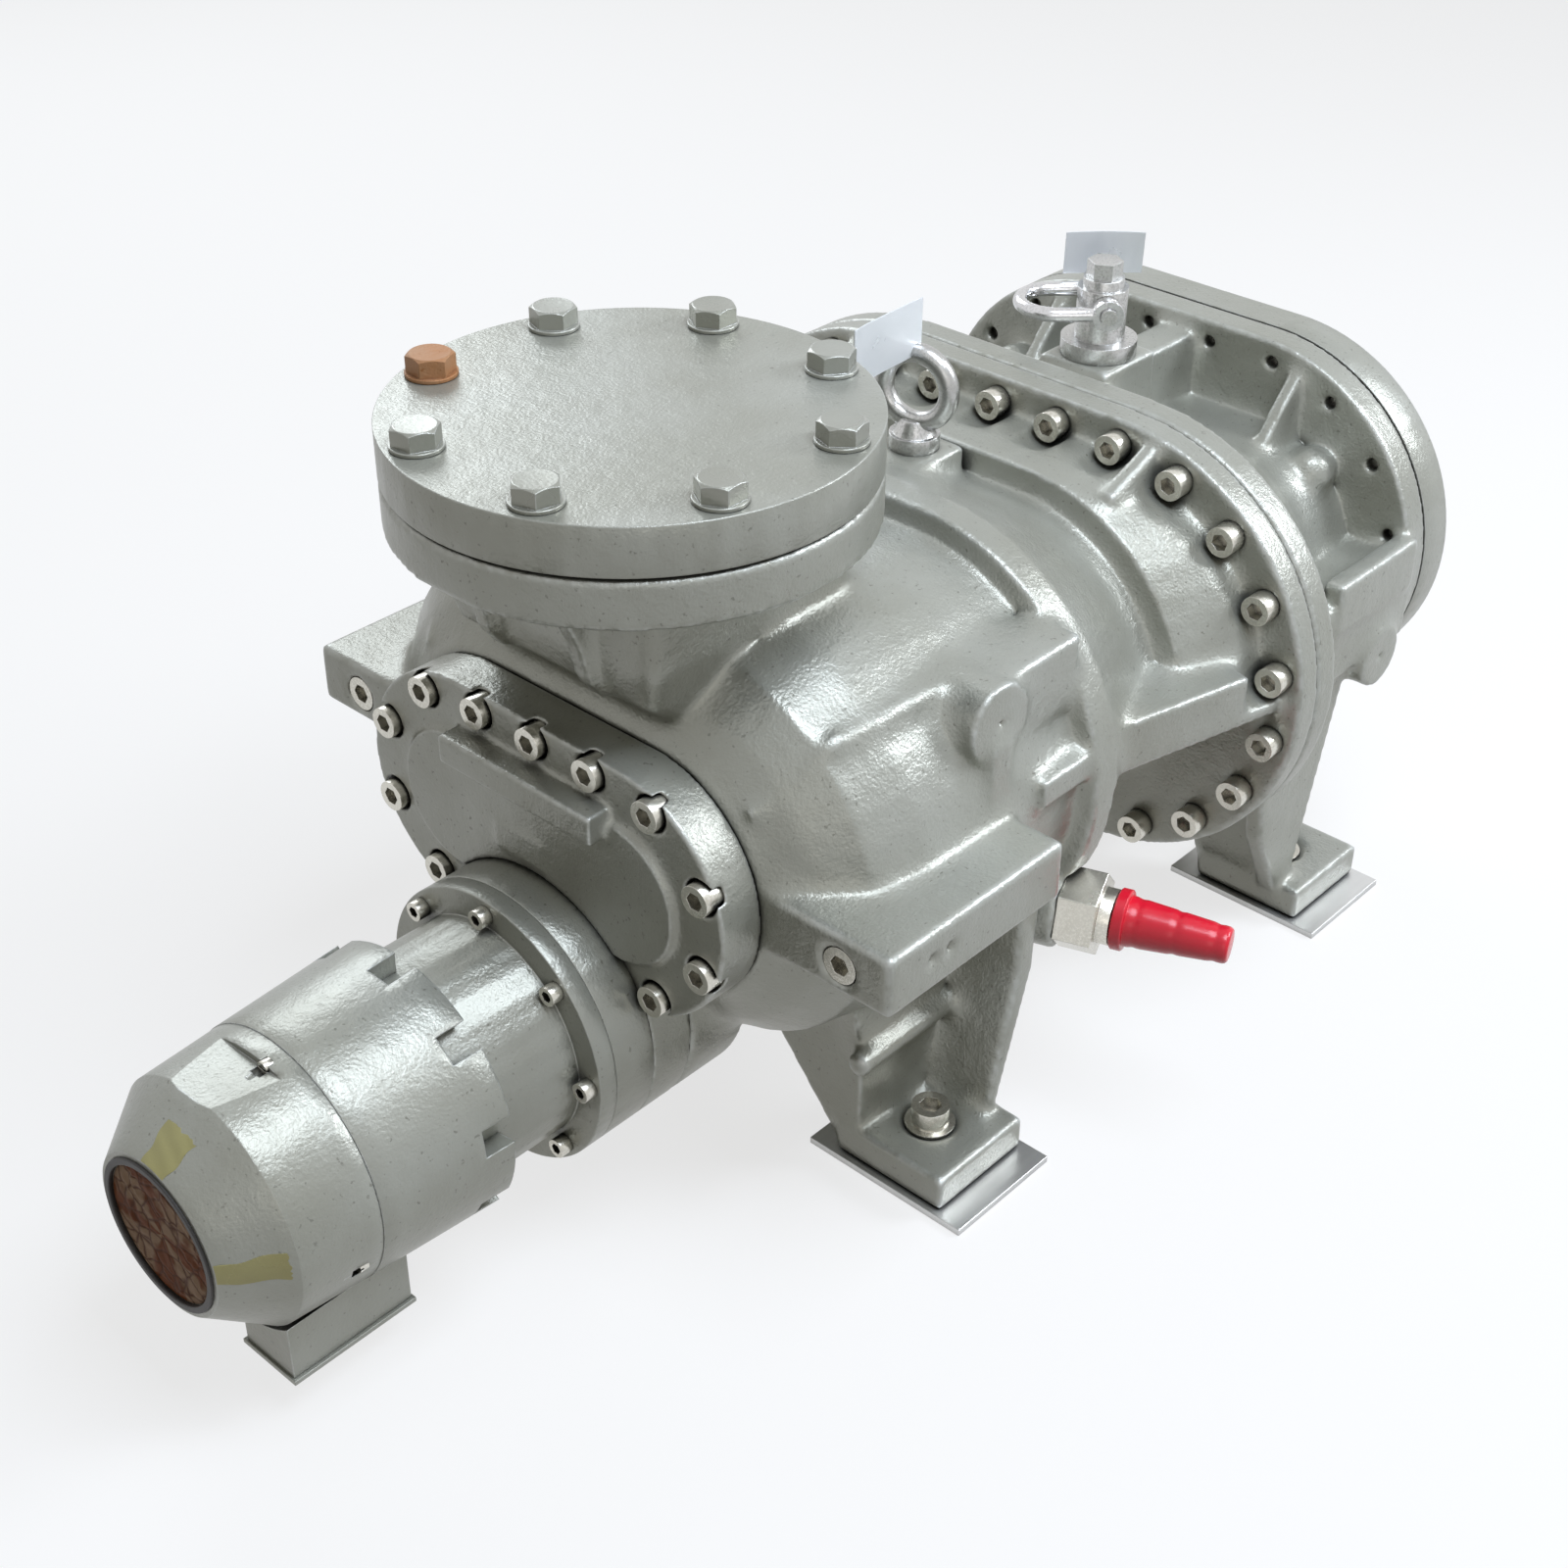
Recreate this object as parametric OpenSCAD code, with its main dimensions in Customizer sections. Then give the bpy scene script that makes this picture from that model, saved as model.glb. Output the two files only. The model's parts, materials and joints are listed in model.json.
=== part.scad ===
// Oil-flooded twin screw compressor, 204 mm rotors, with slide valve unloader.
// X runs along the rotors to the drive end, -Y is the side seen first, Z is up.
// The origin lies on the floor at the centre of the four foot bolts.

/* [Layout] */
// Height of the rotor axes above the floor
axis_z = 300; // [280:1:330]
// Half the distance between the two rotor axes
half_c = 81.6; // [80:0.1:84]
// Height of the slide valve axis above the floor
slide_z = 165; // [160:1:170]

/* [Rotors] */
// Tip radius of the male rotor
male_tip = 102; // [100:0.5:103]
// Pitch radius of the male rotor
male_pitch = 65.28; // [64:0.01:66]
// Radius of a lobe, centred on the pitch circle
lobe_r = 36.72; // [36:0.01:38]
// Play between the meshing rotors
mesh_play = 0.9; // [0.7:0.1:1.2]
// Length of the rotor bodies
rotor_len = 222; // [220:1:223]
// Turn of the male helix from end to end
male_wrap = 250; // [200:5:300]
// Gap between a rotor and its bore
bore_gap = 1; // [0.5:0.1:2]
// Radius of the shafts inside the rotors
core_r = 48; // [45:1:50]
// Radius of the bearing journals
journal_r = 42; // [40:1:45]
// Outer radius of the sleeve bearings
sleeve_r = 52; // [50:1:55]
// Radius of the shaft in the thrust bearings
thrust_seat_r = 38; // [36:1:40]
// Radius of the drive end of the male shaft
drive_r = 35; // [32:1:36]
// Running play on the radius of a journal
run_play = 0.05; // [0.02:0.01:0.1]

/* [Inlet] */
// Width of the inlet flange outside its bolt circle
inlet_rim = 22.5; // [21:0.5:26]
// Thickness of each of them
inlet_flange_t = 36; // [30:1:40]
// Radius of the inlet bolt circle
inlet_pcd_r = 147.5; // [145:0.5:150]
// Radius of the inlet port
inlet_port_r = 100; // [95:1:105]
// Thickness of the gasket
gasket_t = 1.6; // [1:0.1:3]

/* [Casing] */
// Radius of the barrel round each rotor axis
barrel_r = 167; // [165:1:170]
// Radius of the first band of the rotor casing
band_r = 177; // [172:1:180]
// Radius of the casing rim behind the end cover
rim_r = 103; // [100:1:106]
// Radius of the end cover
cover_r = 99; // [97:1:101]
// Radius of the main flange
flange_r = 190; // [185:1:195]
// Half spread of the main flange
flange_c = 116; // [110:1:120]
// Radius of the main bolt path
flange_bolt_r = 170; // [168:1:175]
// Radius of the rear flange and rear cover
rear_r = 169; // [165:1:172]
// Radius of the slide valve tunnel outside
tunnel_r = 86; // [82:1:90]
// Radius of the slide valve
slide_r = 68; // [66:1:70]
// Bore radius of the unloader cylinder
cyl_r = 85; // [80:1:88]
// Stroke of the slide valve
stroke = 70; // [50:1:80]

/* [Unloader and indicator] */
// Radius of the unloader flange
unl_r = 111; // [108:1:114]
// Bolt circle radius of the unloader flange
unl_pcd_r = 100; // [98:0.5:102]
// Radius of the indicator neck
neck_r = 89; // [86:1:92]
// Radius of the indicator housing
ind_r = 100; // [98:1:104]
// Radius of the window
window_r = 57; // [54:1:59]

/* [Discharge] */
// Distance of the discharge flange from the casing joint
out_reach = 130; // [125:1:140]
// Height of its face above the floor
out_z = 60; // [50:1:70]
// Radius of the discharge flange
out_flange_r = 125; // [120:1:130]
// Radius of the discharge bolt circle
out_pcd_r = 105; // [100:1:108]

/* [Feet] */
// Distance of the foot bolts from the middle
foot_y = 209; // [200:1:220]
// Position of the front feet from the inlet axis
front_x = 95; // [90:1:100]
// Distance of the rear feet from the casing joint
rear_reach = 160; // [150:1:170]
// Distance of the anchor holes of the base plates from the middle
anchor_y = 146; // [144:1:148]
// Thickness of the base plates
plate_t = 6; // [4:1:10]

/* [Hidden] */
$fn = 64;
x_cover = -104;
x_rim = -66;
x_rotor = 206;
x_joint = x_rotor + rotor_len + 2;
x_main = x_joint - 25;
x_pocket = x_main - 38;
x_seat = x_main + 1;
x_crest = x_joint - 96;
x_valley = x_joint - 112;
x_rear = x_joint + 231;
x_rear_joint = x_rear + 30;
x_rear_end = x_rear_joint + 36;
x_thrust = x_joint + 118;
rotor_x = x_rotor + 1;
out_x = x_joint + out_reach;
rear_x = x_joint + rear_reach;
sx = -(front_x + rear_x) / 2;
inlet_flange_r = inlet_pcd_r + inlet_rim;
female_pitch = male_pitch * 1.5;
inlet_top = 2 * axis_z;
inlet_low = inlet_top - inlet_flange_t;
inlet_face = inlet_low - gasket_t;
inlet_under = inlet_face - inlet_flange_t;
x_unl = -156.5;
x_seam = -341;
x_neck_end = -262;
x_house = -232;
x_cyl = -140.5;
x_rod = -240;
x_rod_bore = -130;
x_shaft_step = x_rear_end + 20;
x_shaft_end = x_shaft_step + 114;
cap_turns = [20, 97, 200, 283];
x_cone = -404;
x_window = -446;
barrel_top = axis_z + barrel_r;
block_top = 327;
block_low = 279;
block_x1 = 121;
block_y = 293;
hoist_x = x_joint + 110;
hoist_top = 470;
cover_pts = [for (a = [22.5 : 45 : 160]) [half_c + 85 * sin(a), 85 * cos(a)]];
eye_x = x_rotor + 94;
eye_top = 467;

// Moves the children from the inlet axis to the shared origin.
module at(x, y, z) {
  translate([sx + x, y, z]) children();
}

// Turns flat children so that they stand across X and extrude to the drive end.
module across(x, y, z) {
  at(x, y, z) rotate([90, 0, 90]) children();
}

// Oblong outline round the two rotor axes.
module oval(r, c = half_c) {
  translate([-c, 0]) circle(r);
  translate([c, 0]) circle(r);
  square([2 * c, 2 * r], center = true);
}

// Oblong slab across X.
module slab(x, l, r, c = half_c) {
  across(x, 0, axis_z) linear_extrude(l) oval(r, c);
}

// Round bar along X.
module bar(x, l, r, y = 0, z = axis_z) {
  across(x, y, z) cylinder(h = l, r = r);
}

// Ring along X.
module ring(x, l, ro, ri, y = 0, z = axis_z) {
  difference() {
    bar(x, l, ro, y, z);
    bar(x - 1, l + 2, ri, y, z);
  }
}

// Socket head screw along X, its head towards the front.
module socket_screw(r, head_h, l) {
  difference() {
    union() {
      cylinder(h = head_h, r = 1.5 * r);
      translate([0, 0, head_h - 0.01]) cylinder(h = l + 0.01, r = r);
    }
    translate([0, 0, -1]) cylinder(h = 0.6 * head_h + 1, r = 0.9 * r, $fn = 6);
  }
}

// Places children along an oblong path, evenly by length, across X, with a gap below.
// Each place's local Y points outwards.
module along_oval(x, r, c, count, gap = 0, shift = 0.5) {
  run = 4 * c + 2 * PI * r;
  for (i = [0 : count - 1]) {
    s = (i + shift) * run / count;
    half = s < run / 2 ? 1 : -1;
    t = s < run / 2 ? s : s - run / 2;
    turn = (t - c) / r * 180 / PI;
    y = t < c ? t : t < c + PI * r ? c + r * sin(turn) : run / 2 - t;
    z = t < c ? r : t < c + PI * r ? r * cos(turn) : -r;
    lean = t < c ? 0 : t < c + PI * r ? turn : 180;
    if (half * z > 0 || abs(y) > gap) {
      across(x, half * y, axis_z + half * z) rotate([0, 0, half > 0 ? -lean : 180 - lean]) children();
    }
  }
}

// Places children at the bolts of the joint between the two casings.
module at_main_bolts(x) {
  along_oval(x, flange_bolt_r, flange_c, 26, 60, 0) children();
}

// Screw positions on a circle across X.
module on_circle(x, r, count, start, y = 0, z = axis_z) {
  for (i = [0 : count - 1]) {
    a = start + i * 360 / count;
    across(x, y + r * cos(a), z + r * sin(a)) children();
  }
}

// Both sides of the middle plane.
module both() {
  children();
  mirror([0, 1, 0]) children();
}

// Foot block with a pocket for its bolt, x and y at the bolt.
module foot(x) {
  difference() {
    at(x - 50, -foot_y - 52, plate_t) cube([100, 104, 30]);
    at(x, -foot_y, plate_t + 24) cylinder(h = 30, r = 24);
    at(x, -foot_y, 0) cylinder(h = 60, r = 11);
  }
}

// Plate seen from the side, y0 its inner face and t its reach outwards.
module side_plate(x, y0, t, pts) {
  at(x, -y0, 0) rotate([90, 0, 0]) linear_extrude(t) polygon(pts);
}

// Round bead from one point to another, x from the inlet axis.
module bead(p, q, r) {
  d = q - p;
  at(p[0], p[1], p[2]) rotate([0, acos(d[2] / norm(d)), atan2(d[1], d[0])]) cylinder(h = norm(d), r = r);
  at(q[0], q[1], q[2]) sphere(r, $fn = 24);
}

// Front leg: a web along X, a leaning web across X and the foot.
module front_leg() {
  foot(front_x);
  side_plate(front_x, 159, 18, [[-50, 10], [42, 10], [48, 60], [81, 200], [-65, 200], [-43, 90]]);
  side_plate(front_x, 157, 83, [[24, 10], [42, 10], [42, 33], [78, 158], [83, 282], [55, 282], [58, 158]]);
  across(front_x - 47, 0, 0) linear_extrude(20)
    polygon([[-177, 10], [-157, 10], [-90, 90], [-60, 110], [-60, 200], [-177, 200]]);
  at(front_x - 62, -184, 112) rotate([0, 90, 0]) cylinder(h = 120, r = 9.5);
}

// Rear leg behind the main flange, its webs left of the foot bolt.
module rear_leg() {
  foot(rear_x);
  side_plate(rear_x, 222, 18,
    [[-44, 10], [-25, 10], [-25, 46], [12, 214], [12, 262], [-120, 262], [-90, 100]]);
  across(rear_x - 44, 0, 0) linear_extrude(19)
    polygon([[-240, 10], [-157, 10], [-110, 120], [-110, 210], [-200, 300], [-240, 300]]);
}

// Inlet chamber above the barrel: upright walls that lean back under the flange.
module inlet_neck() {
  hull() {
    for (x = [-78, 92], y = [-95, 95]) {
      at(x, y, 468) cylinder(h = inlet_under - 464, r = 13, $fn = 24);
      at(0.94 * x, 0.94 * y, 440) cylinder(h = 2, r = 10, $fn = 24);
    }
    at(-40, -88, 405) cube([120, 176, 2]);
  }
  for (y = [-56, 42]) {
    at(0, y + 14, 0) rotate([90, 0, 0]) linear_extrude(14)
      polygon([[-60, 430], [-86, 436], [-99, 452], [-106, 480], [-128, inlet_under + 1],
        [-60, inlet_under + 1]]);
  }
}

// Rounded barrel of the inlet end.
module barrel() {
  hull() {
    slab(x_rim, 2, 99, $fn = 48);
    slab(-44, 1, 132, $fn = 48);
    slab(-17, 1, 157, $fn = 48);
    slab(31, 1, barrel_r - 1, $fn = 48);
    slab(120, 1, barrel_r, $fn = 48);
    slab(x_rotor, 1, barrel_r - 9, $fn = 48);
  }
}

module main_casing() {
  color([0.72, 0.74, 0.69]) difference() {
    union() {
      difference() {
        union() {
          barrel();
          inlet_neck();
          slab(x_rim, 22, rim_r);
          at(0, 0, inlet_under) cylinder(h = inlet_flange_t, r = inlet_flange_r);
          slab(x_rotor, 26, band_r);
          casing_slope();
          slab(x_rotor, x_joint - x_rotor, 126);
          slab(x_main, x_joint - x_main, flange_r, flange_c);
          bar(x_rim, x_joint - x_rim, tunnel_r, 0, slide_z);
          bar(x_rim, 60, unl_r, 0, slide_z);
          both() side_block();
          both() front_leg();
          both() barrel_side();
          both() casing_web();
          at(eye_x - 28, -28, axis_z + 130) cube([56, 56, eye_top - axis_z - 130]);
          at(x_rotor + 38, -6, axis_z + 130) cube([78, 12, 36]);
          both() pocket_rib();
          at_adapter(-66) cylinder(h = 72, r = 34);
        }
        slab(0, x_rotor, 142);
        at(-32, -92, 330) cube([130, 184, 170]);
        at(0, 0, inlet_under - 46) cylinder(h = 60, r = 78);
        at(0, 0, inlet_under + 8) cylinder(h = 40, r = inlet_port_r);
      }
      for (s = [-1, 1]) {
        bar(x_rim, 266, 66, s * half_c);
        at(-10, s * half_c - 9, axis_z - 160) cube([190, 18, 110]);
      }
      bar(x_rim, 96, rim_r - 4, 0, slide_z);
    }
    casing_bores();
    casing_holes();
    at_adapter(6) cylinder(h = 60, r = 36);
  }
}

// Rising and falling bands of the rotor casing above the joint height.
module casing_slope() {
  intersection() {
    union() {
      hull() {
        slab(x_rotor + 25, 1, band_r, $fn = 48);
        slab(x_valley, 1, 142, $fn = 48);
      }
      hull() {
        slab(x_crest, 1, 163, $fn = 48);
        slab(x_main, 1, 164, flange_c, $fn = 48);
      }
      slab(x_valley - 2, 20, 142);
    }
    at(x_rotor, -300, axis_z) cube([x_main - x_rotor, 600, 240]);
  }
}

// Level web along the side of the rotor casing, under the bolt pockets.
module casing_web() {
  at(0, 0, axis_z) linear_extrude(45)
    polygon([[x_rotor, -160], [x_rotor, -246], [x_rotor + 26, -249], [x_main + 2, -292],
      [x_main + 2, -160]]);
}

// Raised line, boss and pad on the side of the barrel.
module barrel_side() {
  boss(112, 402, 238, 31);
  at(112, -232, 372) cube([98, 50, 58]);
  at(98, -243, 330) cube([26, 40, 60]);
  at(150, -252, 318) cube([60, 40, 22]);
  bead([-56, -160, 375], [-5, -187, 418], 8);
  bead([-5, -187, 418], [95, -197, 423], 8);
}

// Slanted rib at the upper end of the groove for the main bolts.
module pocket_rib() {
  side_plate(x_main, 142, 14,
    [[-58, axis_z + 130], [-58, axis_z + 158], [2, axis_z + 182], [2, axis_z + 130]]);
}

// Round boss with a drilled centre facing -Y.
module boss(x, z, y, r) {
  difference() {
    at(x, 0, z) rotate([90, 0, 0]) cylinder(h = y, r = r);
    at(x, -y + 14, z) rotate([90, 0, 0]) cylinder(h = 20, r = 4);
  }
}

// Line of the hex adapter and its cap, d along it from the casing.
module at_adapter(d) {
  at(214, -228, 188) rotate([90, 0, 20]) translate([0, 0, d]) children();
}

// Machined block on the side of the inlet end.
module side_block() {
  difference() {
    at(x_rim, -block_y, block_low) cube([block_x1 - x_rim, 140, block_top - block_low]);
    across(x_rim - 1, -248, axis_z) cylinder(h = 26, r = 14);
    for (x = [-20, -2]) {
      at(x, -block_y + 10, axis_z + 4) rotate([90, 0, 0]) cylinder(h = 20, r = 5);
    }
  }
}

// Working spaces of the main casing.
module casing_bores() {
  bar(x_rotor, 300, male_tip + bore_gap, -half_c);
  bar(x_rotor, 300, female_pitch + bore_gap, half_c);
  for (s = [-1, 1]) {
    bar(x_rim - 30, 400, sleeve_r, s * half_c);
  }
  bar(30, 500, slide_r + run_play, 0, slide_z);
  bar(x_rim - 1, 71, cyl_r, 0, slide_z);
  bar(0, 60, 16.05, 0, slide_z);
  crest(x_joint - x_rotor + 1, 12, 17);
}

// Space above the slide valve, under the edge between the two rotor bores.
module crest(l, half_w, h) {
  at(x_rotor, -half_w, 225) cube([l, 2 * half_w, h]);
}

// Bolt holes of the main casing.
module casing_holes() {
  at_main_bolts(x_pocket) {
    cylinder(h = x_seat - x_pocket, r = 17);
    translate([-17, 0, 0]) cube([34, 17, x_seat - x_pocket]);
  }
  at_main_bolts(x_main - 1) cylinder(h = 60, r = 9);
  difference() {
    slab(x_pocket + 1, 37.5, flange_bolt_r + 16, flange_c);
    slab(x_pocket, 40, flange_bolt_r - 15.5, flange_c);
    at(x_pocket, -158, axis_z) cube([40, 316, 200]);
    at(x_pocket, -320, axis_z - 200) cube([40, 640, 224]);
  }
  at_cover_bolts(x_rim - 1) cylinder(h = 36, r = 8);
  for (i = [0 : 7]) {
    a = 22.5 + 45 * i;
    at(inlet_pcd_r * cos(a), inlet_pcd_r * sin(a), inlet_under - 1) cylinder(h = 60, r = 10);
  }
  at(eye_x, 0, eye_top - 34) cylinder(h = 40, r = 10);
  at_adapter(-20) cylinder(h = 40, r = 20);
}

module head_casing() {
  color([0.73, 0.75, 0.70]) difference() {
    union() {
      slab(x_joint, 26, flange_r, flange_c);
      hull() {
        slab(x_joint + 25, 1, 186, 113, $fn = 48);
        slab(x_joint + 155, 1, 104, 96, $fn = 48);
      }
      hull() {
        slab(x_joint + 155, 1, 104, 96, $fn = 48);
        slab(x_rear, 1, 96, 96, $fn = 48);
      }
      slab(x_rear, x_rear_joint - x_rear, rear_r);
      both() {
        at(x_joint + 20, -252, axis_z - 58) cube([x_rear - x_joint - 10, 170, 76]);
        at(x_joint + 115, -256, axis_z - 8) cube([120, 20, 46]);
        boss(x_joint + 197, 240, 258, 28);
        rear_leg();
        rear_gusset();
        at(x_joint + 210, -158, axis_z + 76) sphere(22);
      }
      at(hoist_x - 36, -34, axis_z + 80) cube([72, 68, hoist_top - axis_z - 80]);
      at(hoist_x + 30, -18, axis_z + 80) cube([x_rear - hoist_x - 28, 36, 75]);
      bar(x_joint, 95, tunnel_r, 0, slide_z);
      at(out_x, 0, out_z) cylinder(h = 150, r = 80);
      at(out_x, 0, out_z) cylinder(h = 24, r = out_flange_r);
    }
    head_bores();
    head_holes();
  }
}

// Three-cornered web between the head casing and its rear flange.
module rear_gusset() {
  side_plate(x_rear, 116, 13,
    [[-66, axis_z + 50], [-66, axis_z + 84], [1, axis_z + 157], [1, axis_z + 50]]);
}

// Bores of the head casing.
module head_bores() {
  for (s = [-1, 1]) {
    bar(x_joint - 1, 200, sleeve_r, s * half_c);
    bar(x_thrust, 200, 76, s * half_c);
  }
  bar(x_joint - 1, stroke + 8, slide_r + run_play, 0, slide_z);
  at(out_x, 0, out_z - 1) cylinder(h = 91, r = 62.5);
  at(x_joint - 1, -40, 200) cube([20, 80, 50]);
  at(x_joint + 6, -50, 106) cube([stroke, 100, 144]);
  at(x_joint + 6, -50, 106) cube([out_x - x_joint - 6, 100, 44]);
}

// Bolt holes of the head casing.
module head_holes() {
  at_main_bolts(x_joint - 1) cylinder(h = 24, r = 8);
  along_oval(x_rear - 5, 150, half_c, 20) cylinder(h = 60, r = 6);
  for (i = [0 : 7]) {
    a = 22.5 + 45 * i;
    at(out_x + out_pcd_r * cos(a), out_pcd_r * sin(a), out_z - 1) cylinder(h = 28, r = 9);
  }
  at(hoist_x, 0, hoist_top - 34) cylinder(h = 40, r = 10);
  at(hoist_x, 0, hoist_top) cylinder(h = 40, r = 34);
}

module end_cover() {
  color([0.66, 0.68, 0.62]) difference() {
    union() {
      slab(x_cover, x_rim - x_cover, cover_r);
      bar(x_cover, x_rim - x_cover, unl_r, 0, slide_z);
      at(x_cover - 22, -77, 344) cube([26, 154, 23]);
      at(x_cover - 8, -12, 284) cube([12, 50, 22]);
      difference() {
        across(x_cover - 6, 0, axis_z) linear_extrude(8) oval(56);
        bar(x_cover - 7, 7, unl_r, 0, slide_z);
      }
    }
    bar(x_cover - 60, 200, cyl_r, 0, slide_z);
    for (s = [-1, 1]) {
      bar(x_rim - 16, 20, sleeve_r, s * half_c);
    }
    at_cover_bolts(x_cover - 1) cylinder(h = 11, r = 14);
    at_cover_bolts(x_cover - 1) cylinder(h = 60, r = 9);
    on_circle(x_cover - 1, unl_pcd_r, 8, 0, 0, slide_z) cylinder(h = 21, r = 5);
  }
}

// Bolt positions of the end cover.
module at_cover_bolts(x) {
  for (y = [-57, 0, 57]) {
    across(x, y, axis_z + 85) children();
  }
  for (p = cover_pts, half = [-1, 1]) {
    across(x, half * p[0], axis_z + p[1]) children();
  }
}

module end_cover_bolts() {
  color([0.62, 0.62, 0.58]) at_cover_bolts(x_cover - 6) socket_screw(8, 16, 60);
}

module unloader_cylinder() {
  color([0.74, 0.76, 0.71]) difference() {
    bar(x_cyl, x_cover - x_cyl, unl_r, 0, slide_z);
    bar(x_cyl - 1, 100, cyl_r, 0, slide_z);
    on_circle(x_cyl - 1, unl_pcd_r, 8, 0, 0, slide_z) cylinder(h = 60, r = 5.5);
  }
}

module unloader_screws() {
  color([0.6, 0.6, 0.56]) on_circle(x_unl - 10, unl_pcd_r, 8, 0, 0, slide_z)
    socket_screw(5, 10, x_cover - x_unl + 20);
}

module indicator_neck() {
  color([0.75, 0.77, 0.73]) difference() {
    union() {
      bar(x_neck_end, x_unl - x_neck_end, neck_r, 0, slide_z);
      bar(x_unl, x_cyl - x_unl, unl_r, 0, slide_z);
    }
    bar(x_neck_end - 1, x_unl - x_neck_end - 14, 70, 0, slide_z);
    bar(x_neck_end - 1, 200, 16.05, 0, slide_z);
    on_circle(x_unl - 1, unl_pcd_r, 8, 0, 0, slide_z) cylinder(h = 22, r = 5.5);
  }
}

// Outside of the indicator housing.
module house_body() {
  across(x_seam, 0, slide_z) cylinder(h = x_house - x_seam, r1 = 99.5, r2 = 106);
}

module indicator_housing() {
  color([0.74, 0.76, 0.72]) difference() {
    house_body();
    bar(x_seam + 12, 200, neck_r, 0, slide_z);
    bar(x_seam - 1, 20, 8.05, 0, slide_z);
    for (a = [12 : 40 : 360]) {
      across(x_house - 24, 0, slide_z) rotate([0, 0, a]) translate([80, -11, 0]) cube([40, 22, 30]);
    }
    for (a = cap_turns) {
      on_circle(x_seam - 1, 94.4, 1, a, 0, slide_z) cylinder(h = 20, r = 2.5);
    }
  }
}

module indicator_cap() {
  color([0.75, 0.78, 0.75]) difference() {
    union() {
      across(x_window, 0, slide_z) cylinder(h = x_cone - x_window, r1 = 62, r2 = 95);
      across(x_cone, 0, slide_z) cylinder(h = x_seam - x_cone, r1 = 95, r2 = 99);
    }
    across(x_window - 1, 0, slide_z) cylinder(h = 200, r = window_r - 5);
    across(x_window - 1, 0, slide_z) cylinder(h = 9, r = window_r + 1);
    across(x_cone + 10, 0, slide_z) cylinder(h = 200, r = 88);
    across(x_cone - 2, 0, slide_z) rotate([0, 0, 88]) translate([92.5, -40, 0]) cube([20, 80, 49]);
    for (a = cap_turns) {
      on_circle(x_seam - 30, 94.4, 1, a, 0, slide_z) cylinder(h = 60, r = 2.5);
      on_circle(x_seam - 24, 94.4, 1, a, 0, slide_z) cylinder(h = 13, r = 5.3);
    }
  }
}

module cap_screws() {
  color([0.7, 0.7, 0.66]) for (a = cap_turns) {
    on_circle(x_seam - 18, 94.4, 1, a, 0, slide_z) difference() {
      union() {
        cylinder(h = 7, r = 5);
        cylinder(h = 32, r = 2.5);
      }
      translate([-6, -0.8, -1]) cube([12, 1.6, 3.5]);
    }
  }
}

module window_glass() {
  color([0.5, 0.3, 0.2]) bar(x_window + 2, 6, window_r - 0.5, 0, slide_z);
}

module window_ring() {
  color([0.15, 0.13, 0.12]) ring(x_window - 2, 4, window_r + 1, window_r - 4, 0, slide_z);
}

module window_film() {
  color([0.6, 0.36, 0.22]) bar(x_window + 1.5, 0.5, window_r - 4, 0, slide_z);
}

module dial() {
  color([0.9, 0.9, 0.88]) ring(x_cone + 10, 3, 88, 9, 0, slide_z);
}

module pointer() {
  color([0.7, 0.12, 0.1]) {
    ring(x_cone - 4, 4, 10, 4, 0, slide_z);
    difference() {
      across(x_cone - 4, 0, slide_z) translate([-2, 6, 0]) cube([4, 42, 3]);
      bar(x_cone - 5, 6, 8, 0, slide_z);
    }
  }
}

module cam_shaft() {
  color([0.55, 0.56, 0.57]) difference() {
    union() {
      bar(x_cone - 6, 14, 4, 0, slide_z);
      bar(x_cone + 7, x_rod_bore - 20 - x_cone - 7, 8, 0, slide_z);
    }
    across(x_rod_bore - 34, 0, slide_z) translate([-9, -1.5, 0]) cube([18, 3, 20]);
  }
}

module terminal_box() {
  color([0.66, 0.66, 0.6]) difference() {
    union() {
      at(-402, -62, 40) cube([102, 52, 50]);
      at(-395, -40, 80) cube([88, 60, 30]);
    }
    bar(x_cone - 20, x_seam - x_cone + 20, ind_r, 0, slide_z);
    house_body();
    at(-397, -58, 44) cube([92, 44, 32]);
    for (x = [-396, -306], y = [-58, -14]) {
      at(x, y, 35) cylinder(h = 12, r = 2);
    }
    at(-350, -16, 54) rotate([-90, 0, 0]) cylinder(h = 12, r = 7.5);
  }
}

module terminal_lid() {
  color([0.6, 0.6, 0.55]) difference() {
    at(-404, -65, 36) cube([106, 58, 4]);
    for (x = [-396, -306], y = [-58, -14]) {
      at(x, y, 30) cylinder(h = 12, r = 2.2);
    }
  }
}

module lid_screws() {
  color([0.65, 0.65, 0.62]) for (x = [-396, -306], y = [-58, -14]) {
    at(x, y, 33) cylinder(h = 3, r = 4);
    at(x, y, 35) cylinder(h = 8, r = 2);
  }
}

module cable_gland() {
  color([0.25, 0.25, 0.25]) at(-350, -10, 54) rotate([-90, 0, 0]) difference() {
    union() {
      cylinder(h = 9, r = 10);
      cylinder(h = 16, r = 7.5);
      translate([0, 0, -4]) cylinder(h = 5, r = 7.5);
    }
    translate([0, 0, -5]) cylinder(h = 30, r = 4);
  }
}

module inlet_blind() {
  color([0.7, 0.73, 0.68]) difference() {
    at(0, 0, inlet_low) cylinder(h = inlet_flange_t, r = inlet_flange_r, $fn = 128);
    for (i = [0 : 7]) {
      a = 22.5 + 45 * i;
      at(inlet_pcd_r * cos(a), inlet_pcd_r * sin(a), inlet_low - 1) cylinder(h = 60, r = 11);
    }
  }
}

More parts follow.
